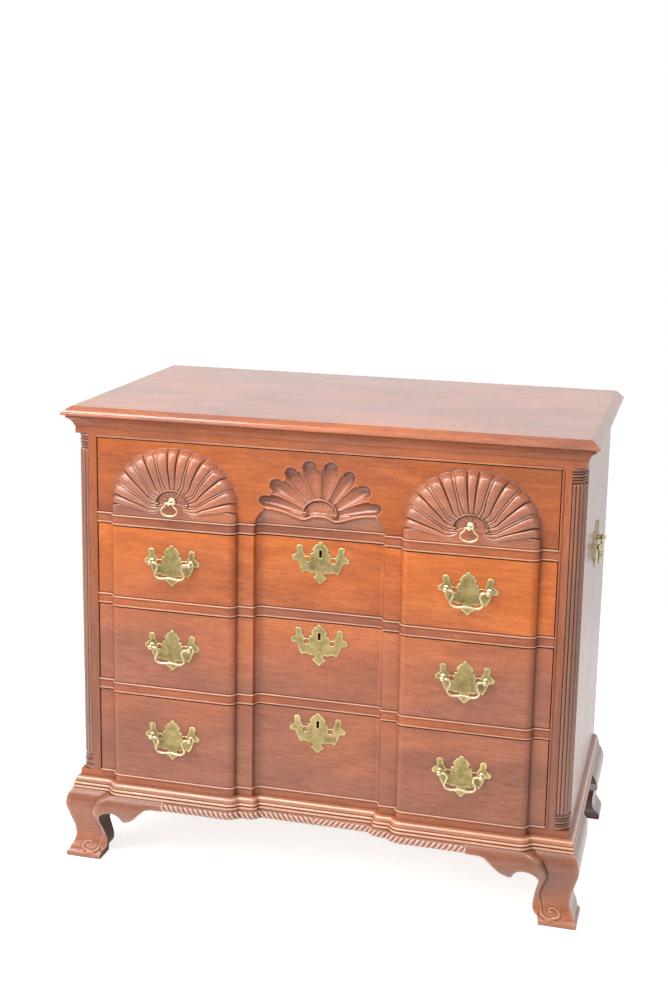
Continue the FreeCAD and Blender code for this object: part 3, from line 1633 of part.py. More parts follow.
def build():
    """Builds every piece of the chest."""
    make_top_board()
    make_top_moulding()
    make_sides_and_back()
    make_stiles()
    make_rails()
    make_runners()
    make_columns()
    make_base_moulding()
    make_gadroon_strip()
    make_front_feet()
    make_rear_feet()
    make_glue_blocks()
    make_top_drawer()
    for number in (2, 3, 4):
        make_lower_drawer(number)
    make_handles()
    bore_side_panels()
    DOC.recompute()


def check():
    """Stops if any object failed or any piece has no valid shape."""
    for item in DOC.Objects:
        if "Invalid" in item.State or "Error" in item.State:
            raise RuntimeError(f"{item.Label} failed: {item.State}")
    for piece in NODES:
        if piece.Shape.isNull() or not piece.Shape.isValid():
            raise RuntimeError(f"{piece.Label} has no valid shape")
        if not piece.Shape.Solids:
            raise RuntimeError(f"{piece.Label} has no solid")


def write():
    """Writes one STEP file for each piece."""
    os.makedirs("parts", exist_ok=True)
    for piece in NODES:
        piece.Shape.exportStep(f"parts/{piece.Label}.step")
        print(f"{piece.Label:24s} solids {len(piece.Shape.Solids)}  volume {piece.Shape.Volume:.0f}")


build()
check()
write()
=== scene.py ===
import math

import bpy
import numpy as np
from mathutils import Matrix, Vector
from mathutils.geometry import delaunay_2d_cdt


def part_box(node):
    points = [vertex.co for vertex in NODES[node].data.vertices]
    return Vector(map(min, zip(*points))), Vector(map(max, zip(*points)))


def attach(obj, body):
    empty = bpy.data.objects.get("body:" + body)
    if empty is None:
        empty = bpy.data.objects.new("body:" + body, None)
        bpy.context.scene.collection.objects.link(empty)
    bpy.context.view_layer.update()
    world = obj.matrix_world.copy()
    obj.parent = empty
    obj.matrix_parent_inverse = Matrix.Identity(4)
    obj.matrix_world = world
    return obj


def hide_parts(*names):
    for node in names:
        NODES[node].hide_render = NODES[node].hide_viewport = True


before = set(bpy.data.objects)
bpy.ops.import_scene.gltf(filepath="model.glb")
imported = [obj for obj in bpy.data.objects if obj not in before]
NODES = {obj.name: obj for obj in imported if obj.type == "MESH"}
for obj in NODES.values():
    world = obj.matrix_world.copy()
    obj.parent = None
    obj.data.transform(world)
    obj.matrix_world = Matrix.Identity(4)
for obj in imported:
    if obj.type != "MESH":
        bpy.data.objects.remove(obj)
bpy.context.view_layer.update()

# Sizes and levels in millimetres: X to the right, Y from the stiles' face backwards, Z up

MM = 0.001
COLUMN_RADIUS = 24.4
STILE_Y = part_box("side_panel_right")[0].y / MM - COLUMN_RADIUS


def node_box(node):
    """A node's lowest and highest corners in millimetres from the stiles' face."""
    low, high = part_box(node)
    shift = Vector((0.0, STILE_Y, 0.0))
    return Vector(low) / MM - shift, Vector(high) / MM - shift


CASE_HALF = node_box("side_panel_right")[1].x
MOULDING_Z = node_box("base_moulding")[0].z
DRAWERS = (1, 2, 3, 4)
SIDES = (("right", 1), ("left", -1))
FRONT = {n: node_box(f"drawer_{n}_front") for n in DRAWERS}
DRAWER_HALF = FRONT[2][1].x
FRONT_BACK = 26.0
BLOCK_RISE = 14.0
RECESS_FALL = 14.0
BLOCK_INNER = 149.0
BLOCK_OUTER = 385.0
BLOCK_MIDDLE = (BLOCK_INNER + BLOCK_OUTER) / 2
RECESS_HALF = 118.5
RECESS_COVE = 12.0
PLATE_THICK = 1.6
SHELL_Z = 701.0

# The drawers' dovetails: thickness of the sides, Y of the tails' ends, margins below and above, and pitch
DRAWER_SIDE, TAIL_TIP = 11.0, FRONT_BACK - 14.0
TAIL_START, TAIL_END, TAIL_PITCH = 18.0, 4.0, 32.0

# Heights that carry a painted highlight, in metres: the edge beads, a little above their middle, and the
# crests of the base moulding
BEAD, BEAD_HIGHLIGHT_LIFT, TOP_GAP = 1.6, 0.3, 1.0
BEAD_HIGHLIGHT_HEIGHTS = [
    (height + BEAD_HIGHLIGHT_LIFT) * MM
    for low, high in map(node_box, ("divider_1", "divider_2", "divider_3"))
    for height in (low.z + BEAD, high.z - BEAD)
]
BEAD_HIGHLIGHT_HEIGHTS += [(FRONT[4][0].z - BEAD) * MM, (FRONT[1][1].z + TOP_GAP + BEAD) * MM]

MOULDING_HEIGHT = node_box("base_moulding")[1].z - MOULDING_Z
MOULDING_HIGHLIGHT_HEIGHTS = [(MOULDING_Z + share * MOULDING_HEIGHT) * MM for share in (0.10, 0.40, 0.84)]

# Meshes


def add_mesh(name, points, faces, smooth_angle=35.0):
    """A mesh object from points in millimetres and index faces."""
    points = np.asarray(points, float).reshape(-1, 3).copy()
    points[:, 1] += STILE_Y
    mesh = bpy.data.meshes.new(name)
    mesh.from_pydata((points * MM).tolist(), [], [list(map(int, f)) for f in faces])
    mesh.validate()
    mesh.update()
    mesh.shade_smooth()
    mesh.set_sharp_from_angle(angle=math.radians(smooth_angle))
    obj = bpy.data.objects.new(name, mesh)
    bpy.context.scene.collection.objects.link(obj)
    return obj


def add_piece(name, points, faces, smooth_angle, material, slot, body, *replaced):
    """A mesh with its finish that rides on a body in place of the given nodes."""
    obj = add_mesh(name, points, faces, smooth_angle)
    mark_relief(obj)
    obj.data.materials.append(material)
    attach(obj, body)
    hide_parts(*replaced)
    return obj


def vectors(items, key):
    """A vector property of every item, as rows."""
    values = np.empty(len(items) * 3)
    items.foreach_get(key, values)
    return values.reshape(-1, 3)


def mark_relief(obj, reach=0.35, passes=2):
    """Stores how hollow (1) or how ridged (-1) the surface is at each vertex; reach is in 1/mm."""
    mesh = obj.data
    place, normal = vectors(mesh.vertices, "co") / MM, vectors(mesh.vertices, "normal")
    ends = np.empty(len(mesh.edges) * 2, dtype=np.int32)
    mesh.edges.foreach_get("vertices", ends)
    a, b = ends.reshape(-1, 2).T
    run = place[b] - place[a]
    square = np.maximum((run ** 2).sum(1), 1e-3)
    bend, touching = np.zeros(len(place)), np.zeros(len(place))
    for first, way in ((a, 1.0), (b, -1.0)):
        np.add.at(bend, first, way * 2 * (normal[first] * run).sum(1) / square)
        np.add.at(touching, first, 1.0)
    bend /= np.maximum(touching, 1)
    for _ in range(passes):
        spread = bend * touching
        np.add.at(spread, a, bend[b])
        np.add.at(spread, b, bend[a])
        bend = spread / np.maximum(2 * touching, 1)
    layer = mesh.attributes.new("relief", "FLOAT", "POINT")
    layer.data.foreach_set("value", np.clip(bend / reach, -1, 1).astype(np.float32))


def grid_faces(rows, columns, closed=False):
    """Quads between neighbouring rows of points."""
    faces = []
    for r in range(rows - 1):
        for c in range(columns if closed else columns - 1):
            a, b = r * columns + c, r * columns + (c + 1) % columns
            faces.append((a, b, b + columns, a + columns))
    return faces


def strip_faces(rows):
    """The faces of a strip given by its rows, closed along its back and at both ends."""
    columns, count = len(rows[0]), len(rows)
    last = (count - 1) * columns
    faces = grid_faces(count, columns)
    faces += [(last + c, last + c + 1, c + 1, c) for c in range(columns - 1)]
    faces.append(tuple(r * columns for r in range(count)))
    faces.append(tuple(r * columns + columns - 1 for r in reversed(range(count))))
    return faces


def tube_faces(rows, columns):
    """The faces of a closed tube given by its rings, with both ends shut."""
    last = (rows - 1) * columns
    ends = [tuple(range(columns))[::-1], tuple(range(last, last + columns))]
    return grid_faces(rows, columns, closed=True) + ends


def sided(faces, sign):
    """The faces as they are for sign 1, and turned over for the mirror image of sign -1."""
    return faces if sign > 0 else [f[::-1] for f in faces]


def shifted(faces, offset, turned=False):
    """The faces with their indices moved on, and turned over if asked."""
    return [tuple(offset + i for i in (face[::-1] if turned else face)) for face in faces]


def smoothstep(value, low, high):
    """0 below low, 1 above high, smooth between."""
    t = np.clip((np.asarray(value, float) - low) / (high - low), 0, 1)
    return t * t * (3 - 2 * t)


def bell(value, width, power=2):
    """1 at 0, falling off over a width to both sides."""
    return np.exp(-((value / width) ** power))


def dome(value, power=2):
    """1 at 0, rounding down to 0 at 1."""
    return np.sqrt(np.clip(1 - value ** power, 0, 1))


# Materials


class Graph:
    """A small helper around the nodes of a material or of the world."""

    def __init__(self, owner, output="ShaderNodeOutputMaterial"):
        owner.use_nodes = True
        self.owner, self.tree = owner, owner.node_tree
        self.tree.nodes.clear()
        self.out = self.node(output)

    def node(self, kind, inputs=None, **values):
        """A node with its properties, each input linked to a socket or set to a constant."""
        made = self.tree.nodes.new(kind)
        for key, value in values.items():
            setattr(made, key, value)
        for key, value in (inputs or {}).items():
            if isinstance(value, bpy.types.NodeSocket):
                self.tree.links.new(value, made.inputs[key])
            else:
                made.inputs[key].default_value = value
        return made

    def show(self, shader):
        self.tree.links.new(shader, self.out.inputs["Surface"])
        return self.owner

    def math(self, kind, first, second=0.0, clamp=False):
        return self.node("ShaderNodeMath", {0: first, 1: second}, operation=kind, use_clamp=clamp).outputs[0]

    def add(self, first, second, clamp=False):
        return self.math("ADD", first, second, clamp)

    def less(self, first, second, clamp=False):
        return self.math("SUBTRACT", first, second, clamp)

    def times(self, first, second, clamp=False):
        return self.math("MULTIPLY", first, second, clamp)

    def around(self, mask, weight):
        """A mask with its middle moved from 0.5 to 0, times a weight."""
        return self.times(self.less(mask, 0.5), weight)

    def noise(self, vector, scale, detail=4.0, roughness=0.55, distortion=0.0):
        inputs = {"Vector": vector, "Scale": scale, "Detail": detail, "Roughness": roughness}
        return self.node("ShaderNodeTexNoise", {**inputs, "Distortion": distortion}).outputs["Fac"]

    def mapped(self, scale=(1, 1, 1), location=(0, 0, 0)):
        """The object's own coordinates, stretched and shifted."""
        place = self.node("ShaderNodeTexCoord").outputs["Object"]
        mapping = self.node("ShaderNodeMapping", {"Vector": place, "Scale": scale, "Location": location})
        return mapping.outputs["Vector"]

    def part(self, vector, axis):
        return self.node("ShaderNodeSeparateXYZ", {0: vector}).outputs[axis]

    def ramp(self, value, stops):
        """A colour ramp; a stop's shade is a colour or one grey value."""
        made = self.node("ShaderNodeValToRGB", {"Fac": value})
        elements = made.color_ramp.elements
        while len(elements) < len(stops):
            elements.new(0.5)
        for element, (place, colour) in zip(elements, stops):
            element.position = place
            shade = colour if isinstance(colour, tuple) else (colour,) * 3
            element.color = (*shade, 1.0)
        return made.outputs["Color"]

    def mix(self, kind, factor, first, second):
        """Two colours mixed; each is a socket or a tuple."""
        first, second = ((*c, 1.0) if isinstance(c, tuple) else c for c in (first, second))
        inputs = {0: factor, 6: first, 7: second}
        return self.node("ShaderNodeMix", inputs, data_type="RGBA", blend_type=kind).outputs[2]

    def blend(self, share, first, second):
        """Two shaders mixed."""
        return self.node("ShaderNodeMixShader", {0: share, 1: first, 2: second}).outputs[0]

    def edge(self, radius):
        """1 close to an outer or inner edge, 0 on the flat, and the rounded normal."""
        soft = self.node("ShaderNodeBevel", {"Radius": radius}, samples=6).outputs["Normal"]
        hard = self.node("ShaderNodeNewGeometry").outputs["Normal"]
        dot = self.node("ShaderNodeVectorMath", {0: soft, 1: hard}, operation="DOT_PRODUCT")
        return self.less(1.0, dot.outputs["Value"], clamp=True), soft

    def relief(self):
        """Two masks from the stored relief: 1 on ridges, and 1 in hollows."""
        made = self.node("ShaderNodeAttribute", attribute_type="GEOMETRY", attribute_name="relief")
        return (self.times(made.outputs["Fac"], way, clamp=True) for way in (-1.0, 1.0))

    def highlight_bands(self, heights, half):
        """1 on each of the given heights in metres, 0 half away from it."""
        level = self.part(self.mapped(), "Z")
        total = 0.0
        for height in heights:
            gap = self.math("ABSOLUTE", self.less(level, height))
            total = self.math("MAXIMUM", total, self.less(1.0, self.times(gap, 1.0 / half), clamp=True))
        return total

    def hollow(self, distance):
        """0 deep in a groove, 1 in the open."""
        return self.node("ShaderNodeAmbientOcclusion", {"Distance": distance}, samples=6).outputs["AO"]

    def finish(self, colour, roughness, height, normal, strength, distance, constants):
        """The whole material: a principled surface over a bump."""
        bump = self.node("ShaderNodeBump", {
            "Height": height, "Normal": normal, "Strength": strength, "Distance": distance,
        })
        inputs = {"Base Color": colour, "Roughness": roughness, "Normal": bump.outputs["Normal"]}
        return self.show(self.node("ShaderNodeBsdfPrincipled", {**inputs, **constants}).outputs[0])


GRAIN = {"X": (1.0, 9.0, 9.0), "Z": (9.0, 9.0, 1.0)}
BROWN = ((0.30, (0.170, 0.052, 0.028)), (0.50, (0.275, 0.088, 0.046)), (0.72, (0.420, 0.145, 0.076)))
ORANGE = ((0.30, (0.290, 0.068, 0.016)), (0.50, (0.480, 0.120, 0.026)), (0.72, (0.680, 0.200, 0.046)))
PALE = ((0.32, (0.27, 0.155, 0.08)), (0.52, (0.42, 0.27, 0.15)), (0.70, (0.53, 0.37, 0.22)))
PORE_TINT = (0.40, 0.28, 0.24)
# Tints for painted light: pale edges (rubbed wear and painted highlight), painted shade in corners, pale
# ridges (rubbed wear and painted highlight), dark hollows (dirt and painted shade), painted bead highlights
RUBBED_EDGE_HIGHLIGHT_TINT = (0.62, 0.32, 0.20)
CORNER_SHADE_TINT = (0.22, 0.13, 0.11)
RIDGE_WEAR_HIGHLIGHT_TINT = (0.66, 0.34, 0.21)
PIT_DIRT_SHADE_TINT = (0.30, 0.19, 0.16)
BEAD_HIGHLIGHT_TINT = (0.80, 0.52, 0.38)
BRASS_PIT_TINT = (0.35, 0.30, 0.22)


def wood(name, grain, warm, rise=None, deep=1.0, seed=0.0, rough=0.34, even=1.0, coat=0.25, coat_rough=0.15,
         shine=0.40, edge_light=0.35, rounding=0.0006, groove=0.0, reach=0.012, carved=0.0, pit_dirt_and_shade=0.7,
         ridge_highlight_tint=RIDGE_WEAR_HIGHLIGHT_TINT, highlight_heights=(), band=0.0013):
    """Polished mahogany: fine grain, pores, orange and brown patches, edges lightened as rubbed wear
    and painted highlight, hollows darkened as dirt and painted shade.

    warm shifts the whole piece between brown and orange; rise is a pair of heights in
    metres between which it grows warmer and lighter, as painted light from above; deep below 1
    darkens it. rough and even are the polish and its waves. edge_light lightens the edges,
    partly rubbed wear and partly painted highlight; groove is painted shade on what lies within
    reach of other wood; carved lightens ridges from the stored relief (rubbed wear and painted
    highlight) and another setting darkens its hollows (dirt and painted shade); and a list of
    heights gets painted highlight lines along them.
    """
    g = Graph(bpy.data.materials.new(name))
    place = (seed * 1.7, seed * 0.9, seed * 2.3)

    def grained(scale, lift, *look):
        return g.noise(g.mapped(tuple(s * scale + lift for s in GRAIN[grain]), place), *look)

    flame = grained(0.25, 0.7, 5.0, 3.0, 0.55, 0.9)
    streak = grained(1.5, 0.0, 16.0, 5.0, 0.65, 0.5)
    fibre = grained(3.0, 0.0, 46.0, 3.0, 0.65)
    patch = grained(0.12, 0.6, 3.6, 2.0, 0.5, 0.3)
    pores = g.noise(g.mapped(tuple(s * s for s in GRAIN[grain]), place), 30.0, 2.0, 0.5)
    tone = g.add(g.around(flame, 0.45), g.around(streak, 0.42))
    tone = g.add(g.add(tone, g.around(fibre, 0.55)), 0.5)
    brown, orange = (
        g.ramp(tone, [(at, tuple(c * deep for c in shade)) for at, shade in stops])
        for stops in (BROWN, ORANGE)
    )
    # Warmer and lighter towards the top, between the rise heights: painted light from above
    lift = 0.0
    if rise:
        low, high = rise
        lift = g.times(g.less(g.part(g.mapped(), "Z"), (low + high) / 2), 1.0 / (high - low))
    share = g.add(g.add(g.around(patch, 2.0), warm), lift, clamp=True)
    colour = g.mix("MIX", share, brown, orange)
    pore_mask = g.ramp(pores, ((0.56, 0.0), (0.66, 1.0)))
    colour = g.mix("MULTIPLY", g.times(pore_mask, 0.32), colour, PORE_TINT)
    # Edges lightened towards a pale tint: partly rubbed wear, partly painted highlight
    turned, soft_normal = g.edge(rounding)
    uneven = g.ramp(g.noise(g.mapped(location=place), 55.0, 3.0, 0.6), ((0.35, 0.25), (0.65, 1.0)))
    edge_wear_and_highlight = g.times(g.times(g.times(turned, 2.2, clamp=True), uneven), edge_light)
    colour = g.mix("MIX", edge_wear_and_highlight, colour, RUBBED_EDGE_HIGHLIGHT_TINT)
    # Painted shade: darker where other wood lies within reach, in corners, grooves and recesses
    if groove:
        unshaded = g.ramp(g.hollow(reach), ((0.25, 0.0), (0.90, 1.0)))
        colour = g.mix("MULTIPLY", g.times(g.less(1.0, unshaded), groove), colour, CORNER_SHADE_TINT)
    # From the stored relief: ridges lighter, as rubbed wear and painted highlight, and hollows darker, as
    # dirt and painted shade
    if carved:
        ridge, sunk = g.relief()
        colour = g.mix("MIX", g.times(ridge, carved), colour, ridge_highlight_tint)
        colour = g.mix("MULTIPLY", g.times(sunk, pit_dirt_and_shade), colour, PIT_DIRT_SHADE_TINT)
    # Painted highlights: pale lines along the given heights, band being their half width
    if highlight_heights:
        colour = g.mix("MIX", g.times(g.highlight_bands(highlight_heights, band), 0.62), colour, BEAD_HIGHLIGHT_TINT)
    rub = g.noise(g.mapped(location=place), 9.0, 4.0, 0.6)
    roughness = g.add(g.times(rub, 0.16 * even), rough - 0.08 * even)
    roughness = g.add(roughness, g.times(pore_mask, 0.12))
    height = g.add(g.times(fibre, 0.35), g.times(pore_mask, -0.7))
    height = g.add(height, g.times(rub, 1.2 * even))
    return g.finish(colour, roughness, height, soft_normal, 0.20 * even, 0.0004,
                    {"Coat Weight": coat, "Coat Roughness": coat_rough, "Specular IOR Level": shine})


def plain_wood(name, seed, along_x=False):
    """Sawn secondary wood, pale and matt; faces to the front or back always have their grain along X."""
    g = Graph(bpy.data.materials.new(name))
    place = (seed, seed * 1.3, seed * 0.7)
    normal = g.node("ShaderNodeTexCoord").outputs["Normal"]
    crossways = g.math("GREATER_THAN", g.math("ABSOLUTE", g.part(normal, "Y")), 0.5)
    sideways, backwards = (0.45, 9.0, 9.0), (9.0, 0.45, 9.0)
    shades = []
    for stretch in (sideways, sideways if along_x else backwards):
        rings = g.noise(g.mapped(stretch, place), 7.0, 4.0, 0.55, 0.3)
        fibre = g.noise(g.mapped(tuple(s * s for s in stretch), place), 9.0, 3.0, 0.6)
        shades.append(g.add(g.times(rings, 0.7), g.times(fibre, 0.3)))
    shade = g.add(g.times(shades[0], crossways), g.times(shades[1], g.less(1.0, crossways)))
    _, soft_normal = g.edge(0.0005)
    roughness = g.add(g.times(shade, 0.3), 0.50)
    return g.finish(g.ramp(shade, PALE), roughness, shade, soft_normal, 0.35, 0.0005, {})


def brass(name, bright, seed, tarnish, clean, rough=0.38):
    """Aged brass: green-brown tarnish on the flats, rubbed bright on edges and knobs."""
    g = Graph(bpy.data.materials.new(name))
    place = (seed, seed * 2.1, seed * 1.1)
    cloud = g.noise(g.mapped(location=place), 60.0, 5.0, 0.6, 0.3)
    speck = g.noise(g.mapped(location=place), 420.0, 4.0, 0.6)
    ridge, sunk = g.relief()
    turned, soft_normal = g.edge(0.0005)
    shine = g.add(g.times(cloud, 0.9), bright - 0.45)
    shine = g.add(g.add(shine, g.times(turned, 2.0)), g.times(ridge, 0.6))
    shine = g.add(shine, g.around(speck, 0.5), clamp=True)
    colour = g.ramp(shine, ((0.05, tarnish), (0.95, clean)))
    colour = g.mix("MULTIPLY", g.times(sunk, 0.6), colour, BRASS_PIT_TINT)
    roughness = g.less(rough + 0.14, g.times(shine, 0.2))
    height = g.add(cloud, g.times(speck, 0.4))
    return g.finish(colour, roughness, height, soft_normal, 0.25, 0.0003, {"Metallic": 0.85})


def make_materials():
    """Every finish, by name."""
    # carved lightens ridges and darkens hollows (rubbed wear, dirt and painted light); blocked adds painted
    # shade in corners; the third set lightens edges as rubbed wear and painted highlight
    carved = {"carved": 0.55, "coat": 0.9, "coat_rough": 0.27, "rough": 0.30, "shine": 0.35}
    blocked = {"groove": 0.75, "reach": 0.022}
    rubbed_and_highlit = {"edge_light": 0.5, "coat": 0.6, "rough": 0.28}
    hidden = {"coat": 0.0, "shine": 0.2}
    return {
        "top": wood("WoodTop", "X", 0.25, seed=1.0, rough=0.26, coat=0.6, edge_light=0.3),
        "front_1": wood("WoodFront1", "X", 0.55, None, 0.90, 2.0, coat=0.08, shine=0.22, **blocked),
        "shell": wood("WoodShell", "X", 0.22, None, 1.0, 2.0, groove=0.95, reach=0.020, rounding=0.0003,
                      edge_light=0.1, **carved),
        "front_2": wood("WoodFront2", "X", 0.90, (0.50, 0.68), 1.0, 3.1, coat=0.08, shine=0.3, **blocked),
        "front_3": wood("WoodFront3", "X", 0.28, (0.34, 0.54), 1.0, 4.3, **blocked),
        "front_4": wood("WoodFront4", "X", 0.0, (0.15, 0.38), 0.92, 5.7, **blocked),
        "rail": wood("WoodRail", "X", 0.28, None, 0.98, 6.2, edge_light=0.55, coat=0.12, shine=0.3,
                     highlight_heights=BEAD_HIGHLIGHT_HEIGHTS, **blocked),
        "stile": wood("WoodStile", "Z", 0.30, (0.10, 0.90), 0.84, 7.5, groove=0.6, reach=0.02),
        "column": wood("WoodColumn", "Z", 0.0, None, 0.62, 8.1, groove=0.9, carved=0.32, **rubbed_and_highlit),
        "side": wood("WoodSide", "Z", 0.10, seed=9.4, rough=0.30, coat=0.35, even=0.3),
        "base": wood("WoodBase", "X", 0.22, None, 1.0, 10.6, groove=0.3, carved=0.7, pit_dirt_and_shade=0.35,
                     ridge_highlight_tint=(0.80, 0.47, 0.26), highlight_heights=MOULDING_HIGHLIGHT_HEIGHTS, band=0.0022, **rubbed_and_highlit),
        "gadroon": wood("WoodGadroon", "X", 0.0, None, 0.75, 12.6, groove=0.9, reach=0.006, carved=0.85,
                        ridge_highlight_tint=(0.88, 0.60, 0.48), **rubbed_and_highlit),
        "foot": wood("WoodFoot", "X", 0.50, None, 0.68, 11.2, groove=0.6, carved=0.7, pit_dirt_and_shade=0.4,
                     ridge_highlight_tint=(0.74, 0.47, 0.34), **rubbed_and_highlit),
        # Painted shade: near-black wood for the sawn edges and backs of the front feet, which lie in shadow
        "foot_inside_shade": wood("WoodFootInsideShade", "X", -0.4, None, 0.30, 15.2, rough=0.45, **hidden),
        "foot_rear": wood("WoodFootRear", "X", -0.4, None, 0.45, 14.2, coat=0.6),
        # Painted shade: near-black wood for the glue blocks, which lie in shadow
        "painted_shade": wood("WoodPaintedShade", "Z", -0.6, None, 0.30, 13.2, rough=0.5, **hidden),
        "plain_x": plain_wood("PlainWoodX", 1.0, True),
        "plain_y": plain_wood("PlainWoodY", 2.0),
        "plate": brass("BrassPlate", 0.34, 1.0, (0.115, 0.088, 0.028), (0.69, 0.54, 0.25)),
        "bail": brass("BrassBail", 0.62, 2.0, (0.16, 0.13, 0.06), (0.76, 0.65, 0.40), 0.26),
        "drop": brass("BrassDrop", 0.80, 4.0, (0.24, 0.18, 0.08), (0.86, 0.72, 0.44), 0.26),
        "lock": brass("BrassLock", 0.25, 3.0, (0.13, 0.11, 0.07), (0.36, 0.31, 0.19), 0.5),
    }


CASE_FINISHES = {
    "top": "top_board",
    "rail": "top_moulding top_rail bottom_rail divider_1 divider_2 divider_3",
    "stile": "front_stiles",
    "column": "quarter_column_left quarter_column_right",
    "side": "side_panel_left side_panel_right",
    "base": "base_moulding gadroon_strip",
    "foot": "foot_front_left foot_front_right",
    "foot_rear": "foot_rear_left foot_rear_right",
    # The glue blocks take the near-black painted shade finish
    "painted_shade": "glue_blocks",
    "plain_x": "back_boards bottom_board",
    "plain_y": "drawer_runners",
    "plate": "side_handle_plates",
    "bail": "side_handle_posts side_bail_left side_bail_right",
}
DRAWER_FINISHES = {
    "box": "plain_y", "bottom": "plain_x", "plates": "plate", "posts": "bail", "bail_left": "bail",
    "bail_right": "bail", "lock": "lock", "lock_bolt": "lock",
}


def finish_nodes(finishes):
    """Puts a finish on each CAD node."""
    chosen = {node: finish for finish, nodes in CASE_FINISHES.items() for node in nodes.split()}
    for n in DRAWERS:
        chosen[f"drawer_{n}_front"] = f"front_{n}"
        chosen.update((f"drawer_{n}_{part}", finish) for part, finish in DRAWER_FINISHES.items())
    chosen.update(drawer_1_bail_left="drop", drawer_1_bail_right="drop")
    for node, finish in chosen.items():
        if node in NODES:
            mesh = NODES[node].data
            mesh.materials.clear()
            mesh.materials.append(finishes[finish])


# The carved top drawer front

RIM_HALF, RIM_TOP = 118.0, 96.5
SHELL_LINES = (6.5, 22.5, 37.0, 51.0, 63.0, 76.0, 88.0, 97.5)
SHELL_CROWN = (
    (0.0, 13.2), (0.24, 13.0), (0.34, 12.3), (0.46, 13.2), (0.58, 14.4), (0.68, 14.5), (0.78, 13.2),
    (0.87, 10.6), (0.93, 7.8), (0.97, 4.6), (1.0, 0.6), (1.02, -3.0), (1.3, -8.0),
)
RIB_BEND = (
    (0.0, 1.0), (0.28, 1.0), (0.36, 0.82), (0.46, 0.46), (0.56, 0.24), (0.68, 0.08), (0.8, -0.02),
    (0.9, -0.06), (1.0, 0.0), (1.2, 0.0),
)
HOLLOW_REACH = 96.0
HOLLOW_NOTCHES = ((0.0, 78.0), (26.9, 81.0), (49.6, 84.0), (72.6, 93.0), (90.5, 103.0))
HOLLOW_TIPS = (94.5, 96.5, 102.5, 112.0)
FLUTE_DEPTH = (
    (0.0, 9.0), (0.25, 9.0), (0.4, 11.0), (0.6, 13.4), (0.78, 14.2), (0.88, 13.0), (0.94, 9.8),
    (0.98, 4.6), (1.0, 0.8), (1.02, 0.0), (2.0, 0.0),
)
RIDGE_DEPTH = (
    (0.0, 7.0), (0.3, 7.2), (0.5, 7.4), (0.7, 6.2), (0.86, 4.2), (0.95, 2.0), (1.02, 0.2), (1.1, 0.0),
    (3.0, 0.0),
)
HOLLOW_LIP = (
    (0, -6.5), (12, -7.5), (18, -10.0), (24, -12.8), (32, -13.4), (46, -9.5), (64, -3.6), (82, 0.0),
    (104, 1.2), (118, 2.0), (130, 2.0),
)
ARCH_RING = ((0, 25.0), (30, 26.2), (55, 28.6), (75, 31.0), (92, 32.0), (180, 32.0))
ARCH_END = 96
ARCH_WIDTH = 2.0
SCROLL_EYE = (27.0, -2.5)
RAISED_BEND, SUNK_BEND = (26.0, 34.0), (9.0, 40.0)
FAN_RIBS = 11.0
SEAT_RISE, SEAT_RADIUS = 3.0, 7.6
RAISED_WELL, RAISED_ARCH, SUNK_WELL, SUNK_ARCH = 11.6, 16.6, 8.2, 1.4
STEP, FINE_TOP = 0.8, SHELL_Z + 98.5


def locate(value, places):
    """The step of rising places that a value falls in, the step's length, and how far along it."""
    index = np.clip(np.searchsorted(places, value, side="right") - 1, 0, len(places) - 2)
    span = places[index + 1] - places[index]
    return index, span, (value - places[index]) / span


def curve(value, points):
    """A smooth curve through (place, value) points."""
    places, values = np.array(points, float).T
    slopes = np.gradient(values, places)
    index, span, t = locate(np.clip(np.asarray(value, float), places[0], places[-1]), places)
    return (
        values[index] * (1 + 2 * t) * (1 - t) ** 2 + values[index + 1] * t * t * (3 - 2 * t)
        + slopes[index] * span * t * (1 - t) ** 2 - slopes[index + 1] * span * t * t * (1 - t)
    )


def polar(across, rise):
    """Distance from a shell's focus, and degrees from its upright line."""
    return np.hypot(across, rise), np.degrees(np.arctan2(np.abs(across), rise))


def unbend(angle, share, most, spread, steps=12):
    """The angle at which a rib that bends by up to most degrees starts at the rim, for a point on it."""
    sink = curve(share, RIB_BEND)
    start = np.array(angle, float)
    for _ in range(steps):
        fall = np.exp(-(start / spread) ** 1.6)
        bent = most * (1 - fall)
        slope = most * 1.6 / spread * (start / spread) ** 0.6 * fall
        start = np.clip(start - (start + bent * sink - angle) / (1 + slope * sink), 0.0, 180.0)
    return start


def scroll_ring(across, rise):
    """Relief of the arch round the focus, with a volute at each end: (relief, inside mask, ring radius)."""
    radius, angle = polar(across, rise)
    ring = curve(angle, ARCH_RING)
    band = bell(radius - ring + ARCH_WIDTH, 1.5, 4) * (angle < ARCH_END)
    out, up = np.abs(across) - SCROLL_EYE[0], rise - SCROLL_EYE[1]
    from_eye, turn = np.hypot(out, up), np.degrees(np.arctan2(up, out))
    groove = bell(from_eye - 3.4 - turn / 360.0 * 1.6, 0.75)
    boss = np.clip(1 - (from_eye / 6.4) ** 4, 0, 1) * (1 - 0.65 * groove)
    return np.maximum(band, boss), (radius < ring - ARCH_WIDTH) & (angle < ARCH_END), ring


def fan(across, rise, ring):
    """A small ribbed fan with a pearled edge inside the arch."""
    radius, angle = polar(across, rise)
    turn = np.radians(angle * np.sign(across + 1e-9))
    edge = ring - 6.2 - 1.1 * np.abs(np.sin(turn * FAN_RIBS / 2))
    ribs = 0.5 + 0.5 * np.cos(turn * FAN_RIBS)
    field = (radius < edge) * (0.45 + 0.55 * ribs) * smoothstep(radius, 7.5, 12.0)
    return 1.1 * bell(radius - edge, 0.8) + field


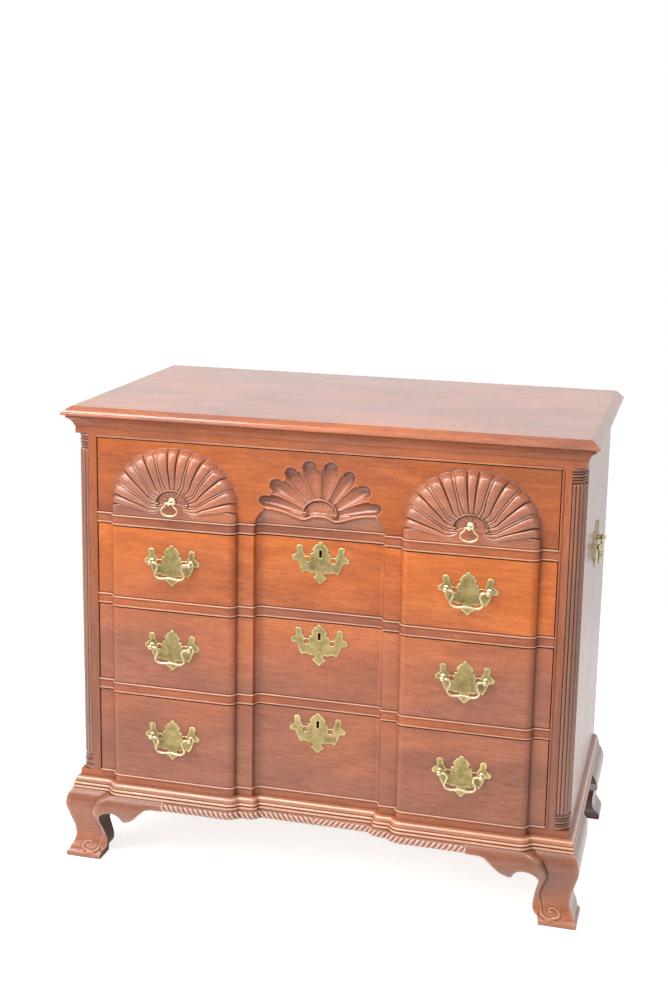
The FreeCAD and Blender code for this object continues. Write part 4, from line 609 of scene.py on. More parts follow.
def raised_shell(across, rise):
    """How proud a raised shell is, where it is carved, and how far a point is from the carving's end."""
    radius, angle = polar(across, rise)
    sine, cosine = np.sin(np.radians(angle)), np.cos(np.radians(angle))
    arc = 1 / np.sqrt((sine / RIM_HALF) ** 2 + (cosine / RIM_TOP) ** 2)
    rim = np.where(angle <= 90, arc, RIM_HALF / np.maximum(sine, 0.05))
    share = radius / rim
    start = unbend(angle, share, *RAISED_BEND)
    index, width, along = locate(start, np.array((-SHELL_LINES[0], *SHELL_LINES)))
    place = 2 * along - 1
    wide = np.radians(width) * radius
    from_line = (1 - np.abs(place)) * wide / 2
    lobe = np.clip(1 - np.abs(place) ** 2.3, 0, 1) ** 0.8
    tip_share = share + 0.034 * (1 - lobe)
    base = curve(tip_share, SHELL_CROWN) + 2.0 * smoothstep(start, 74.0, 92.0) * smoothstep(share, 1.02, 0.93)
    grow = smoothstep(share, 0.24, 0.45) * 0.5 + 0.5
    swell = np.minimum(0.18 * wide, 4.0) * lobe * grow * smoothstep(tip_share, 1.0, 0.90)
    beaded = np.where(place > 0, index, index - 1) % 2 == 1
    bead = 1.5 * (bell(from_line, 0.85) - bell(from_line - 1.9, 0.85))
    groove = -bell(from_line, 0.95) * np.minimum(1.9, 0.16 * wide)
    height = base + swell + np.where(beaded, bead, groove) * smoothstep(share, 1.0, 0.93)
    arch, inside, ring = scroll_ring(across, rise)
    well = RAISED_WELL + fan(across, rise, ring) + 2.6 * smoothstep(radius, 9.0, SEAT_RADIUS)
    height = np.maximum(np.where(inside, np.minimum(well, 15.0), height), arch * RAISED_ARCH)
    carved = (start < SHELL_LINES[-1]) & (tip_share < 1.03)
    carved &= (np.abs(across) >= 22) | (rise >= -3.0) | (arch > 0.3)
    return height, carved, (SHELL_LINES[-1] - start) * np.radians(1.0) * radius


def hollow_outline(start):
    """Radius of the sunk shell's outline: rounded tips between notches."""
    start = np.clip(start, 0.0, HOLLOW_NOTCHES[-1][0])
    outline = np.zeros_like(start)
    for (low, low_radius), (high, high_radius), tip in zip(HOLLOW_NOTCHES, HOLLOW_NOTCHES[1:], HOLLOW_TIPS):
        u = (start - low) / (high - low)
        saddle = low_radius + (high_radius - low_radius) * u
        bump = dome(np.abs(2 * u - 1) / 0.66, 2.3)
        outline = np.where((start >= low) & (start <= high), saddle + (tip - saddle) * bump, outline)
    return outline


def sunk_shell(across, rise):
    """How deep the sunk shell is cut behind the stiles' face, and how far inside its outline a point is."""
    radius, angle = polar(across, rise)
    start = unbend(angle, radius / HOLLOW_REACH, *SUNK_BEND)
    outline = hollow_outline(start)
    _, width, along = locate(start, np.array(HOLLOW_NOTCHES)[:, 0])
    place = np.abs(np.clip(2 * along - 1, -1, 1))
    share = radius / np.maximum(outline, 1.0)
    flute = curve(share, FLUTE_DEPTH)
    ridge = np.minimum(curve(radius / (80.0 + 0.24 * start), RIDGE_DEPTH), flute)
    sharp = bell((1 - place) * np.radians(width) * radius / 2, 1.0)
    depth = ridge + (flute - ridge) * (1 - place ** 2.2) - 0.5 * sharp * smoothstep(share, 1.0, 0.9)
    lip = 0.7 * bell(outline - radius + 0.6, 1.1)
    return np.where(share < 1.03, depth, 0.0) - lip, outline - radius


def recess_side(rise):
    """Half width of the recess at a height, drawn in under the shell."""
    return RECESS_HALF - 11.5 * np.clip((rise + 34.0) / 26.5, 0, 1.2) ** 2.2


def centre_depth(across, rise):
    """Depth of the middle of the top drawer's front: the sunk shell over the recess."""
    depth, _ = sunk_shell(across, rise)
    out = np.abs(across)
    lip = curve(out, HOLLOW_LIP)
    fall = np.clip((lip - rise) / (lip - FRONT[1][0].z + SHELL_Z), 0, 1)
    roll = 2.0 + (RECESS_FALL - 2.0) * (1 - (1 - fall) ** 2.4)
    near_lip = smoothstep(rise - lip, 5.0, 0.0)
    inner = depth * (1 - near_lip) + np.minimum(depth, 2.0) * near_lip
    arch, inside, ring = scroll_ring(across, rise)
    well = SUNK_WELL - fan(across, rise, ring)
    cushion = 3.2 + 5.0 * np.clip(np.abs((rise + 6.4) / 5.2), 0, 1) ** 2.2
    well = np.where(rise < -1.0, np.minimum(well, cushion), well)
    inner = np.where(inside & (rise > lip - 1.0), well, inner)
    into = np.clip(recess_side(rise) - out, 0, RECESS_COVE)
    cove = RECESS_FALL - RECESS_COVE + np.sqrt(np.clip(RECESS_COVE ** 2 - (RECESS_COVE - into) ** 2, 0, None))
    result = np.where(rise < lip, np.minimum(roll, np.where(into > 0, cove, 0.0)), inner)
    result = result * (1 - arch) + SUNK_ARCH * arch
    return np.where(out > RECESS_HALF, 0.0, result)


def block_height(x):
    """How far the blocked face stands in front of the stiles' face at a place along the front."""
    x = np.abs(x)
    inner = (BLOCK_INNER + BLOCK_RISE - x) / BLOCK_RISE
    outer = (x - BLOCK_OUTER + BLOCK_RISE) / BLOCK_RISE
    height = BLOCK_RISE * dome(np.clip(np.maximum(inner, outer), 0, 1))
    return np.where((x < BLOCK_INNER) | (x > BLOCK_OUTER), 0.0, height)


def carved_front(x, z):
    """Y of the top drawer's carved face."""
    rise, out = z - SHELL_Z, np.abs(x)
    across = out - BLOCK_MIDDLE
    block = block_height(x)
    height, carved, foot = raised_shell(across * np.sign(x), rise)
    proud = block + 0.2 + (height - block - 0.2) * smoothstep(foot, 0.0, 1.6)
    raised = np.where(carved, np.maximum(proud, 0.0), np.where(rise < 5, block, 0.0))
    raised = np.where(np.hypot(across, rise - SEAT_RISE) < SEAT_RADIUS, BLOCK_RISE, raised)
    over_block = (out > BLOCK_INNER - 0.5) & (out < BLOCK_OUTER + 0.5)
    return np.where(over_block, -raised, np.where(out < RECESS_HALF + 6, centre_depth(x, rise), 0.0))


def stations(stops):
    """Places along a line from (end, pitch) stops, each part evenly divided."""
    places = [np.array([stops[0][0]])]
    for (start, _), (end, pitch) in zip(stops, stops[1:]):
        count = max(1, int(round((end - start) / pitch)))
        places.append(np.linspace(start, end, count + 1)[1:])
    return np.concatenate(places)


def level_row(x, y, z):
    """A row of points at one height; y may be one number."""
    return np.stack([x, np.full(len(x), y), np.full(len(x), z)], -1)


def make_carved_front(finish, shell_finish):
    """The top drawer's front with its three shells, as one carved board."""
    low, high = (corner.z for corner in FRONT[1])
    tail_root = DRAWER_HALF - DRAWER_SIDE
    half = stations([
        (0, 0), (RECESS_HALF - 0.02, STEP), (RECESS_HALF + 0.02, 0.04), (126, STEP),
        (BLOCK_INNER - 0.02, 5.0), (BLOCK_INNER + 2.0, 0.3), (BLOCK_OUTER - 2.0, STEP),
        (BLOCK_OUTER + 0.02, 0.3), (tail_root - 0.01, 6.0), (tail_root + 0.01, 0.02), (DRAWER_HALF, 6.0),
    ])
    xs = np.concatenate([-half[::-1], half[1:]])
    zs = stations([(low, 0), (low + 0.5, 0.5), (FINE_TOP, STEP), (high - 0.5, 2.0), (high, 0.5)])
    grid_x, grid_z = np.meshgrid(xs, zs)
    face = carved_front(grid_x, grid_z)
    back = np.where(np.abs(xs) < tail_root, FRONT_BACK, TAIL_TIP)
    rows = [level_row(xs, *row) for row in [*zip(face, zs), (back, zs[-1]), (back, zs[0])]]
    pins, pin_faces = tail_pins(low, high)
    faces = strip_faces(rows) + shifted(pin_faces, len(rows) * len(xs))
    board = add_piece(
        "carved_drawer_front", np.concatenate([*rows, pins]), faces, 60, finish, "show_wood", "drawer_1",
        "drawer_1_front",
    )
    board.data.materials.append(shell_finish)
    middle_x = np.abs((grid_x[1:, 1:] + grid_x[:-1, :-1]) / 2)
    rise = (grid_z[1:, 1:] + grid_z[:-1, :-1]) / 2 - SHELL_Z
    _, worked, _ = raised_shell(middle_x - BLOCK_MIDDLE, rise)
    _, inward = sunk_shell(middle_x, rise)
    sunk = (inward > -1.5) & (rise > -6) | (face[1:, 1:] > 0.3)
    over_block = (middle_x > BLOCK_INNER) & (middle_x < BLOCK_OUTER)
    marked = np.where(over_block, worked | (rise < 0), sunk & (middle_x < BLOCK_INNER)).reshape(-1)
    for index in np.flatnonzero(marked):
        board.data.polygons[int(index)].material_index = 1


def tail_pins(low, high):
    """The wood of a drawer front left between the dovetails of its sides: (points, faces)."""
    side_low, side_high = (corner.z for corner in node_box("drawer_1_box"))
    first = side_low + TAIL_START
    count = max(2, int((side_high - first) // TAIL_PITCH))
    pitch = (side_high - TAIL_END - first) / count
    bounds = [(low, low)]
    for i in range(count):
        middle = first + pitch * (i + 0.5)
        bounds += [(middle + way * 0.30 * pitch, middle + way * 0.40 * pitch) for way in (-1, 1)]
    bounds.append((high, high))
    points, faces = [], []
    for (root_low, tip_low), (root_high, tip_high) in zip(bounds[::2], bounds[1::2]):
        for side in (-1, 1):
            faces += shifted(tube_faces(2, 4), len(points), turned=True)
            for x in sorted((side * (DRAWER_HALF - DRAWER_SIDE), side * DRAWER_HALF)):
                points += [(x, FRONT_BACK, root_low), (x, TAIL_TIP, tip_low), (x, TAIL_TIP, tip_high)]
                points.append((x, FRONT_BACK, root_high))
    return points, faces


# Base moulding and gadrooned strip

ARRIS = 1.6
SMALLEST_COVE = 0.5
FOOT_STOCK = 22.0
FRAME_WIDTH = 60.0
MOULDING_REACH, RETURN_STEPS = 12.5, 12
GADROON_PITCH = 9.7
GADROON_SLANT = 0.8
GADROON_RELIEF = 3.0
GADROON_POINTS = 901
GADROON_LOW, GADROON_SWELL, GADROON_TOP = 16.4, 20.0, 12.3


def arc_line(centre, start, end, count):
    """Points on the short arc about a centre, without the first one."""
    centre, start, end = (np.array(p, float) for p in (centre, start, end))
    radius = np.linalg.norm(start - centre)
    first = math.atan2(*(start - centre)[::-1])
    turn = (math.atan2(*(end - centre)[::-1]) - first + math.pi) % (2 * math.pi) - math.pi
    angles = first + turn * np.arange(1, count + 1) / count
    return centre + radius * np.stack([np.cos(angles), np.sin(angles)], -1)


def straight(start, end, count):
    """Points on a straight run, without the first one."""
    start, end = np.array(start, float), np.array(end, float)
    return start + (end - start) * (np.arange(1, count + 1) / count)[:, None]


def trace(start, *moves):
    """A line from its start through (end, count) straights and (end, count, centre) arcs."""
    line = [np.array([start], float)]
    for end, count, *centre in moves:
        line.append(arc_line(*centre, start, end, count) if centre else straight(start, end, count))
        start = end
    return np.concatenate(line)


def plan_line(stand_off, half_width, soften=3.2):
    """The blocked front's line seen from above, stand_off proud of it, its corners eased: (points, run)."""
    rise, floor, face = BLOCK_RISE + stand_off, RECESS_FALL - stand_off, -stand_off
    cove, arris = max(RECESS_COVE - stand_off, SMALLEST_COVE), ARRIS + stand_off
    arris_centre = np.array([RECESS_HALF - stand_off + arris, arris - stand_off])
    drop = max(arris_centre[1] - (floor - cove), 0.0)
    cove_centre = np.array([arris_centre[0] - math.sqrt((arris + cove) ** 2 - drop ** 2), floor - cove])
    toward = (cove_centre - arris_centre) / np.linalg.norm(cove_centre - arris_centre)
    inner, outer = BLOCK_INNER + BLOCK_RISE, BLOCK_OUTER - BLOCK_RISE
    reach = math.sqrt(rise ** 2 - stand_off ** 2)
    end = [((half_width, -rise), 96)]
    if half_width > outer:
        end = [((outer, -rise), 60), ((outer + reach, face), 16, (outer, 0)), ((half_width, face), 14)]
    half = trace(
        (0, floor), ((cove_centre[0], floor), 86), (arris_centre + toward * arris, 8, cove_centre),
        ((arris_centre[0], face), 20, arris_centre), ((inner - reach, face), 14),
        ((inner, -rise), 16, (inner, 0)), *end,
    )
    line = np.concatenate([half[::-1] * (-1, 1), half[1:]])
    along = np.concatenate([[0], np.cumsum(np.hypot(*np.diff(line, axis=0).T))])
    along -= along[-1] / 2
    weight = bell(along[:, None] - along[None, :], soften) * np.gradient(along)[None, :]
    eased = (weight @ line) / weight.sum(1)[:, None]
    share = smoothstep(half_width - np.abs(line[:, 0]), 6.0, 24.0)[:, None]
    return line + (eased - line) * share, along


def bulged(start, end, sag, count):
    """Points on a shallow arc in a section, whose middle stands sag outside the chord."""
    start, end = np.array(start, float), np.array(end, float)
    chord = end - start
    normal = np.array([chord[1], -chord[0]]) / np.linalg.norm(chord)
    share = np.arange(1, count + 1) / count
    return start + chord * share[:, None] + normal * (sag * 4 * share * (1 - share))[:, None]


def moulding_section():
    """The base moulding's outer section from bottom to top: two beads under an ovolo."""
    reach, bead, middle, fillet, neck = (MOULDING_REACH * share for share in (1.0, 0.90, 0.76, 0.60, 0.72))

    def level(share):
        return MOULDING_Z + share * MOULDING_HEIGHT

    return np.concatenate([
        np.array([[bead, level(0.0)]]),
        bulged((bead, level(0.0)), (bead, level(0.23)), reach - bead, 8),
        np.array([[middle - 0.5, level(0.25)], [middle - 0.5, level(0.27)]]),
        bulged((middle, level(0.28)), (middle - 0.3, level(0.52)), 1.9, 9),
        np.array([[fillet, level(0.54)], [fillet, level(0.56)], [neck, level(0.57)]]),
        bulged((neck, level(0.57)), (1.0, level(1.0)), 2.6, 12),
    ])


def make_base_moulding(finish):
    """The base moulding: a blocked front strip and two returns, mitred at the corners."""
    section = moulding_section()
    back = node_box("base_moulding")[1].y
    rows = []
    for stand_off, height in section:
        outside = CASE_HALF + stand_off
        line, _ = plan_line(stand_off, outside)
        side = straight((outside, -stand_off), (outside, back), RETURN_STEPS)
        rows.append(level_row(*np.concatenate([side[::-1] * (-1, 1), line, side]).T, height))
    inner_half = CASE_HALF - FRAME_WIDTH
    in_x = np.clip(rows[0][:, 0], -inner_half, inner_half)
    in_y = np.maximum(rows[0][:, 1], FRAME_WIDTH)
    rows += [level_row(in_x, in_y, height) for height in section[[-1, 0], 1]]
    points, faces = np.concatenate(rows), strip_faces(rows)
    add_piece("base_moulding_run", points, faces, 40, finish, "show_wood", "case", "base_moulding")


def make_gadroon_strip(finish):
    """The carved strip: slanting reeds that meet in a V on the middle line."""
    low, high, half = node_box("gadroon_strip")[0].z, MOULDING_Z, node_box("gadroon_strip")[1].x
    foot, swell, head = (GADROON_LOW, low), (GADROON_SWELL, low + 0.45 * (high - low)), (GADROON_TOP, high)
    section = np.concatenate([np.array([foot]), bulged(foot, swell, 0.9, 6), bulged(swell, head, 2.0, 8)])
    rows = []
    for stand_off, z in section:
        line, along = plan_line(stand_off, half)
        out, _ = plan_line(stand_off + 1.0, half)
        places = np.linspace(along[0], along[-1], GADROON_POINTS)
        base, proud = (np.stack([np.interp(places, along, k) for k in run.T], -1) for run in (line, out))
        phase = (np.abs(places) - GADROON_SLANT * (z - low)) / GADROON_PITCH
        reed = np.abs(np.sin(np.pi * phase)) ** 0.6
        fade = smoothstep(z, high - 0.2, high - 2.0) * smoothstep(z, low - 1.5, low + 1.5)
        relief = GADROON_RELIEF * (reed - 0.55) * fade
        rows.append(level_row(*(base + (proud - base) * relief[:, None]).T, z))
    rows += [level_row(rows[0][:, 0], FOOT_STOCK, z) for z in (high, low)]
    points, faces = np.concatenate(rows), strip_faces(rows)
    add_piece("gadroon_carving", points, faces, 60, finish, "show_wood", "case", "gadroon_strip")


# Flat outlines filled with a fine net


def smooth_path(points, pitch):
    """Evenly spaced points on a smooth curve through the given ones."""
    points = np.array(points, float)
    chord = np.concatenate([[0], np.cumsum(np.hypot(*np.diff(points, axis=0).T))])
    count = max(2, int(round(chord[-1] / pitch)))
    places = np.linspace(0, chord[-1], count + 1)
    return np.stack([curve(places, list(zip(chord, points[:, k]))) for k in (0, 1)], -1)


def inside_loops(points, loops):
    """Whether each point lies inside the first loop and outside the others."""
    inside = np.zeros(len(points), bool)
    for loop in loops:
        for (x0, z0), (x1, z1) in zip(loop, np.roll(loop, -1, axis=0)):
            if z0 == z1:
                continue
            crosses = (z0 > points[:, 1]) != (z1 > points[:, 1])
            at = x0 + (points[:, 1] - z0) * (x1 - x0) / (z1 - z0)
            inside ^= crosses & (points[:, 0] < at)
    return inside


def edge_distance(points, loops):
    """Distance from each point to the nearest loop."""
    nearest = np.full(len(points), 1e9)
    for loop in loops:
        for a, b in zip(loop, np.roll(loop, -1, axis=0)):
            run = b - a
            length = max(run @ run, 1e-12)
            share = np.clip(((points - a) @ run) / length, 0, 1)
            gap = np.hypot(*(points - a - share[:, None] * run).T)
            nearest = np.minimum(nearest, gap)
    return nearest


def filled(loops, inner_points=()):
    """Triangles that face forwards and fill the loops: (points, triangles, indices of each loop)."""
    verts, edges, rings = [], [], []
    for loop in loops:
        ring = list(range(len(verts), len(verts) + len(loop)))
        verts += [Vector(p) for p in loop]
        edges += list(zip(ring, ring[1:] + ring[:1]))
        rings.append(ring)
    verts += [Vector(p) for p in inner_points]
    out, _, triangles, origin, _, _ = delaunay_2d_cdt(verts, edges, [], 0, 1e-5)
    found = {source: index for index, sources in enumerate(origin) for source in sources}
    points = np.array([tuple(p) for p in out])
    corners = points[np.array(triangles)]
    (ax, az), (bx, bz) = ((corners[:, k] - corners[:, 0]).T for k in (1, 2))
    keep, forward = inside_loops(corners.mean(1), loops), ax * bz - az * bx > 0
    triangles = [tuple(t if ahead else t[::-1]) for t, good, ahead in zip(triangles, keep, forward) if good]
    return points, triangles, [[found[i] for i in ring] for ring in rings]


def net(loops, pitch, clear):
    """Staggered points inside the loops, clear of their edges."""
    low, high = np.min(loops[0], axis=0), np.max(loops[0], axis=0)
    points = []
    for row, z in enumerate(np.arange(low[1], high[1], pitch * 0.866)):
        shift = pitch / 2 if row % 2 else 0.0
        xs = np.arange(low[0] + shift, high[0], pitch)
        points.append(np.stack([xs, np.full(len(xs), z)], -1))
    points = np.concatenate(points)
    points = points[inside_loops(points, loops)]
    return points[edge_distance(points, loops) > clear]


# Front feet

FOOT_LEG = 44.0
FOOT_SCROLL = 108.0
FRONT_BRACKET, SIDE_BRACKET = 173.0, 157.0
MITRE_START = CASE_HALF - 25.5
EYE, EYE_SHIFT, EYE_REACH = (431.5, 24.5), 5.0, 24.0
FOOT_PITCH, EDGE_PITCH, CORNER_PITCH = 2.1, 1.6, 1.9
VOLUTE = (
    (-20, 16), (-18.5, 6), (-14.5, -4), (-8, -9.5), (1, -11), (7.5, -7.5), (9.5, -0.5), (6.5, 5),
    (1.5, 6.2), (-1.8, 3.2), (-1, 0.5), (1.5, 0),
)
FOOT_CURVE = (
    (0.0, 21.4), (0.006, 22.4), (0.016, 22.8), (0.066, 22.9), (0.078, 22.3), (0.086, 20.4), (0.14, 16.4),
    (0.23, 10.5), (0.32, 8.6), (0.42, 10.0), (0.61, 16.9), (0.79, 22.5), (0.89, 20.5), (0.96, 16.6),
    (1.0, 12.5),
)
RAISED_EDGE = (
    (0.1, 399), (0.14, 409), (0.24, 413.5), (0.36, 412.5), (0.48, 415.5), (0.61, 423), (0.71, 424.5),
    (0.84, 419.5), (0.94, 409.5), (1.0, 394),
)
RAISED_RISE = (
    (0.0, 1.5), (0.2, 2.6), (0.3, 3.2), (0.4, 4.2), (0.5, 5.8), (0.6, 8.4), (0.7, 11.4), (0.85, 14.0),
    (1.0, 14.0),
)
# The bracket's sawn edge: shares of the scroll's length inwards and of the foot's height
FOOT_EDGE = (
    ((0, 0), (0.014, 0.10), (0.097, 0.19), (0.106, 0.27), (0.069, 0.40), (0.017, 0.55), (0.009, 0.62)),
    ((0.009, 0.62), (0.037, 0.68), (0.111, 0.73), (0.222, 0.757), (0.324, 0.75), (0.398, 0.71),
     (0.449, 0.63)),
    ((0.449, 0.63), (0.481, 0.622), (0.537, 0.635), (0.63, 0.675), (0.722, 0.745), (0.824, 0.825),
     (0.898, 0.872), (1.0, 0.892)),
)


def foot_outline(length):
    """The sawn outline of a front bracket, from the floor inwards and round to the corner."""
    edge = []
    for part in FOOT_EDGE:
        points = [(CASE_HALF - FOOT_LEG - along * FOOT_SCROLL, share * MOULDING_Z) for along, share in part]
        edge += smooth_path(points, EDGE_PITCH)[len(edge) > 0:].tolist()
    last, end = edge[-1], CASE_HALF - length
    stops = [last, (end, last[1]), (end, MOULDING_Z), (CASE_HALF, MOULDING_Z), (CASE_HALF, 0), edge[0]]
    counts = (max(1, int(round(math.dist(*pair) / CORNER_PITCH))) for pair in zip(stops, stops[1:]))
    return np.concatenate([edge, trace(last, *zip(stops[1:], counts))[1:-1]])


def volute_relief(u, z):
    """Height of the rolled scroll carved on a foot, and the valley round it."""
    path = smooth_path(np.array(VOLUTE) + EYE, 0.6)
    share = np.linspace(0, 1, len(path))
    gap = np.hypot(u[:, None] - path[:, 0], z[:, None] - path[:, 1]) / (3.6 - 2.0 * share)
    rise = (2.4 - 0.2 * share) * dome(gap)
    return rise.max(1), -0.7 * bell(gap.min(1) - 1.15, 0.16)


def foot_relief(u, z):
    """How far the blocked bracket's face stands in front of its plain ogee."""
    share = z / MOULDING_Z
    edge, rise = curve(share, RAISED_EDGE), curve(share, RAISED_RISE)
    inward = np.clip((edge - u) / np.clip(rise * 1.05, 4.0, 14.0), 0, 1)
    raised = rise * dome(1 - inward) * smoothstep(share, 0.075, 0.12)
    groove = -0.5 * bell(u - edge - 0.6, 1.1) * smoothstep(share, 0.80, 0.62) * smoothstep(share, 0.14, 0.2)
    scroll, valley = volute_relief(u, z)
    cut = np.where(scroll > raised, 0, groove) + np.where(raised < 1.0, valley, 0)
    return np.maximum(raised, scroll) + cut


def from_eye(points):
    """Distance from the middle of the foot's scroll."""
    return np.hypot(points[:, 0] - EYE[0] + EYE_SHIFT, points[:, 1] - EYE[1])


def bracket(length, blocked):
    """One bracket of the right front foot: (points, faces, number of faces on its front)."""
    loop = foot_outline(length)
    inner = net([loop], FOOT_PITCH, 1.2)
    if blocked:
        fine = net([loop], FOOT_PITCH / 2, 1.0)
        inner = np.concatenate([inner[from_eye(inner) >= EYE_REACH + 0.6], fine[from_eye(fine) < EYE_REACH]])
    flat, faces, (ring,) = filled([loop], inner)
    u, z = flat.T
    turn = np.clip((u - MITRE_START) / (CASE_HALF - MITRE_START), 0, 1)
    stand_off = curve(z / MOULDING_Z, FOOT_CURVE)
    relief = foot_relief(u, z) if blocked else 0.0
    front = np.stack([u + turn * stand_off, -(stand_off + relief), z], -1)
    rear = np.stack([u[ring] - turn[ring] * FOOT_STOCK, np.full(len(ring), FOOT_STOCK), z[ring]], -1)
    shown, count, size = len(faces), len(front), len(ring)
    for i, j in zip(range(size), [*range(1, size), 0]):
        faces.append((ring[i], ring[j], count + j, count + i))
    faces += shifted([range(size)], count, turned=True)
    return np.concatenate([front, rear]), faces, shown


def make_front_feet(finish, inside):
    """Two front feet, each a blocked front bracket and a plain side bracket, mitred."""
    front, plain = bracket(FRONT_BRACKET, True), bracket(SIDE_BRACKET, False)
    side = np.stack([CASE_HALF - plain[0][:, 1], CASE_HALF - plain[0][:, 0], plain[0][:, 2]], -1)
    turned = (side, sided(plain[1], -1), plain[2])
    for name, sign in SIDES:
        for part, (points, faces, shown) in (("front", front), ("side", turned)):
            piece = add_piece(
                f"foot_{name}_{part}_bracket", points * (sign, 1, 1), sided(faces, sign), 50, finish,
                "show_wood", "case", f"foot_front_{name}",
            )
            # The sawn edges and back take the second, near-black finish: painted shade
            piece.data.materials.append(inside)
            for face in piece.data.polygons[shown:]:
                face.material_index = 1


# Brass

PLATE_HALF, PLATE_HEIGHT = 52.0, 38.4
PLATE_EDGE = (
    (0.0, 1.0, 0.014), (0.085, 0.92, -0.004), (0.11, 0.86, 0.016), (0.21, 0.78, 0.004),
    (0.29, 0.64, 0.014), (0.245, 0.52, -0.016), (0.33, 0.43, 0.022), (0.355, 0.31, -0.008),
    (0.4, 0.27, 0.006), (0.545, 0.28, 0.012), (0.545, 0.38, -0.01), (0.6, 0.5, -0.01),
    (0.61, 0.67, 0.045), (0.765, 0.78, 0.036), (0.855, 0.66, 0.008), (0.825, 0.5, -0.018),
    (0.88, 0.37, -0.004), (0.965, 0.28, 0.03), (0.99, 0.12, 0.02), (0.92, 0.04, -0.006),
    (0.815, 0.02, -0.01), (0.765, -0.12, -0.006), (0.71, -0.32, -0.006), (0.645, -0.46, 0.016),
    (0.585, -0.5, -0.014), (0.45, -0.45, -0.008), (0.32, -0.5, 0.014), (0.225, -0.48, -0.014),
    (0.145, -0.56, -0.01), (0.215, -0.66, 0.024), (0.205, -0.77, 0.0), (0.115, -0.86, 0.008),
    (0.0, -1.0, 0.0),
)
PLATE_EYE = (23.4, 5.2, 4.4)
PLATE_PITCH, BEVEL_DEPTH, HAMMER_DEPTH = 0.9, 0.75, 0.05
RIM_DEPTHS = (0.45, 1.0)
PULL_POST = (37.0, 7.0)
POST_HOLE = 2.3
PULL_PLACES = {2: 586.0, 3: 427.5, 4: 255.0}
ESCUTCHEON_PLACES = {2: 608.3, 3: 456.5, 4: 290.8}
HANDLE_SCALE, HANDLE_Y, HANDLE_Z = 1.16, 245.0, 622.0
HANDLE_POST = (36.0 / HANDLE_SCALE, 4.0 / HANDLE_SCALE)

DROP_WIRE = 1.3
DROP_SHANK, DROP_BALL, NUT_RADIUS, NUT_LENGTH = 2.2, 4.2, 6.0, 4.0
DROP_ROSETTE = (
    (6.9, 0.0), (7.0, 0.5), (6.6, 1.3), (5.9, 1.7), (5.6, 1.9), (5.7, 2.6), (5.0, 3.7), (3.9, 4.5),
    (2.9, 5.0), (2.5, 5.7), (2.5, 6.6), (3.0, 7.4), (3.1, 8.0), (2.7, 8.5),
)


def plate_outline():
    """The batwing plate's outline in X and Z, full size, clockwise from its top."""
    half = [np.array([[0.0, PLATE_HEIGHT]])]
    for (x0, z0, rise), (x1, z1, _) in zip(PLATE_EDGE, PLATE_EDGE[1:]):
        start, end = (x0 * PLATE_HALF, z0 * PLATE_HEIGHT), (x1 * PLATE_HALF, z1 * PLATE_HEIGHT)
        count = max(2, int(round(math.dist(start, end) / PLATE_PITCH)))
        half.append(bulged(start, end, -rise * PLATE_HALF, count))
    half = np.concatenate(half)
    return np.concatenate([half, half[-2:0:-1] * (-1, 1)])


def circle(x, z, radius, count):
    """A round hole's loop."""
    angles = 2 * np.pi * np.arange(count) / count
    return np.stack([x + radius * np.cos(angles), z + radius * np.sin(angles)], -1)


def keyhole_loop():
    """A keyhole: a round head over a straight slot."""
    slot, radius, low, head = 2.3, 3.0, 9.0, 20.0
    start = math.asin(slot / radius)
    angles = np.linspace(-math.pi / 2 + start, 1.5 * math.pi - start, 19)
    top = np.stack([radius * np.cos(angles), head + radius * np.sin(angles)], -1)
    neck = trace((-slot, top[-1, 1]), ((-slot, low), 6), ((slot, low), 4), ((slot, top[0, 1]), 6))
    return np.concatenate([top, neck[1:-1]])


def plate_mesh(post=None):
    """A plate's points (x, forward, z) and faces; it has holes for its posts, or else a keyhole."""
    eye_x, eye_z, eye = PLATE_EYE
    loops = [plate_outline()] + [circle(s * eye_x, eye_z, eye, 26) for s in (-1, 1)]
    if post:
        loops += [circle(s * post[0], post[1], POST_HOLE, 14) for s in (-1, 1)]
    else:
        loops.append(keyhole_loop())
    rims = []
    for depth in RIM_DEPTHS:
        for loop in loops:
            ahead = np.roll(loop, -1, axis=0) - np.roll(loop, 1, axis=0)
            normal = np.stack([ahead[:, 1], -ahead[:, 0]], -1) / np.hypot(*ahead.T)[:, None]
            for sign in (-1, 1):
                moved = loop + normal * depth * sign
                moved = moved[inside_loops(moved, loops)]
                rims.append(moved[edge_distance(moved, loops) > 0.93 * depth])
    flat, faces, rings = filled(loops, np.concatenate([*rims, net(loops, 2.0, 1.6)]))
    back, back_faces, back_rings = filled(loops)
    gap = edge_distance(flat, loops)
    bevel = BEVEL_DEPTH * (1 - np.clip(gap, 0, 1)) ** 1.6
    wave = HAMMER_DEPTH * np.sin(flat[:, 0] * 0.43 + 1.1) * np.cos(flat[:, 1] * 0.37 + 0.4)
    out = PLATE_THICK - bevel - np.where(gap > 0.9, np.abs(wave), 0)
    count = len(flat)
    points = [np.insert(flat, 1, out, axis=1), np.insert(back, 1, 0.0, axis=1)]
    faces += shifted(back_faces, count, turned=True)
    for ring, back_ring, loop in zip(rings, back_rings, loops):
        x, z = loop.T
        around = np.sum(x * np.roll(z, -1) - np.roll(x, -1) * z) > 0
        pairs = list(zip(ring, back_ring))
        rim = [(a, b, count + d, count + c) for (a, c), (b, d) in zip(pairs, pairs[1:] + pairs[:1])]
        faces += shifted(rim, 0, turned=around != (loop is loops[0]))
    return np.concatenate(points), faces


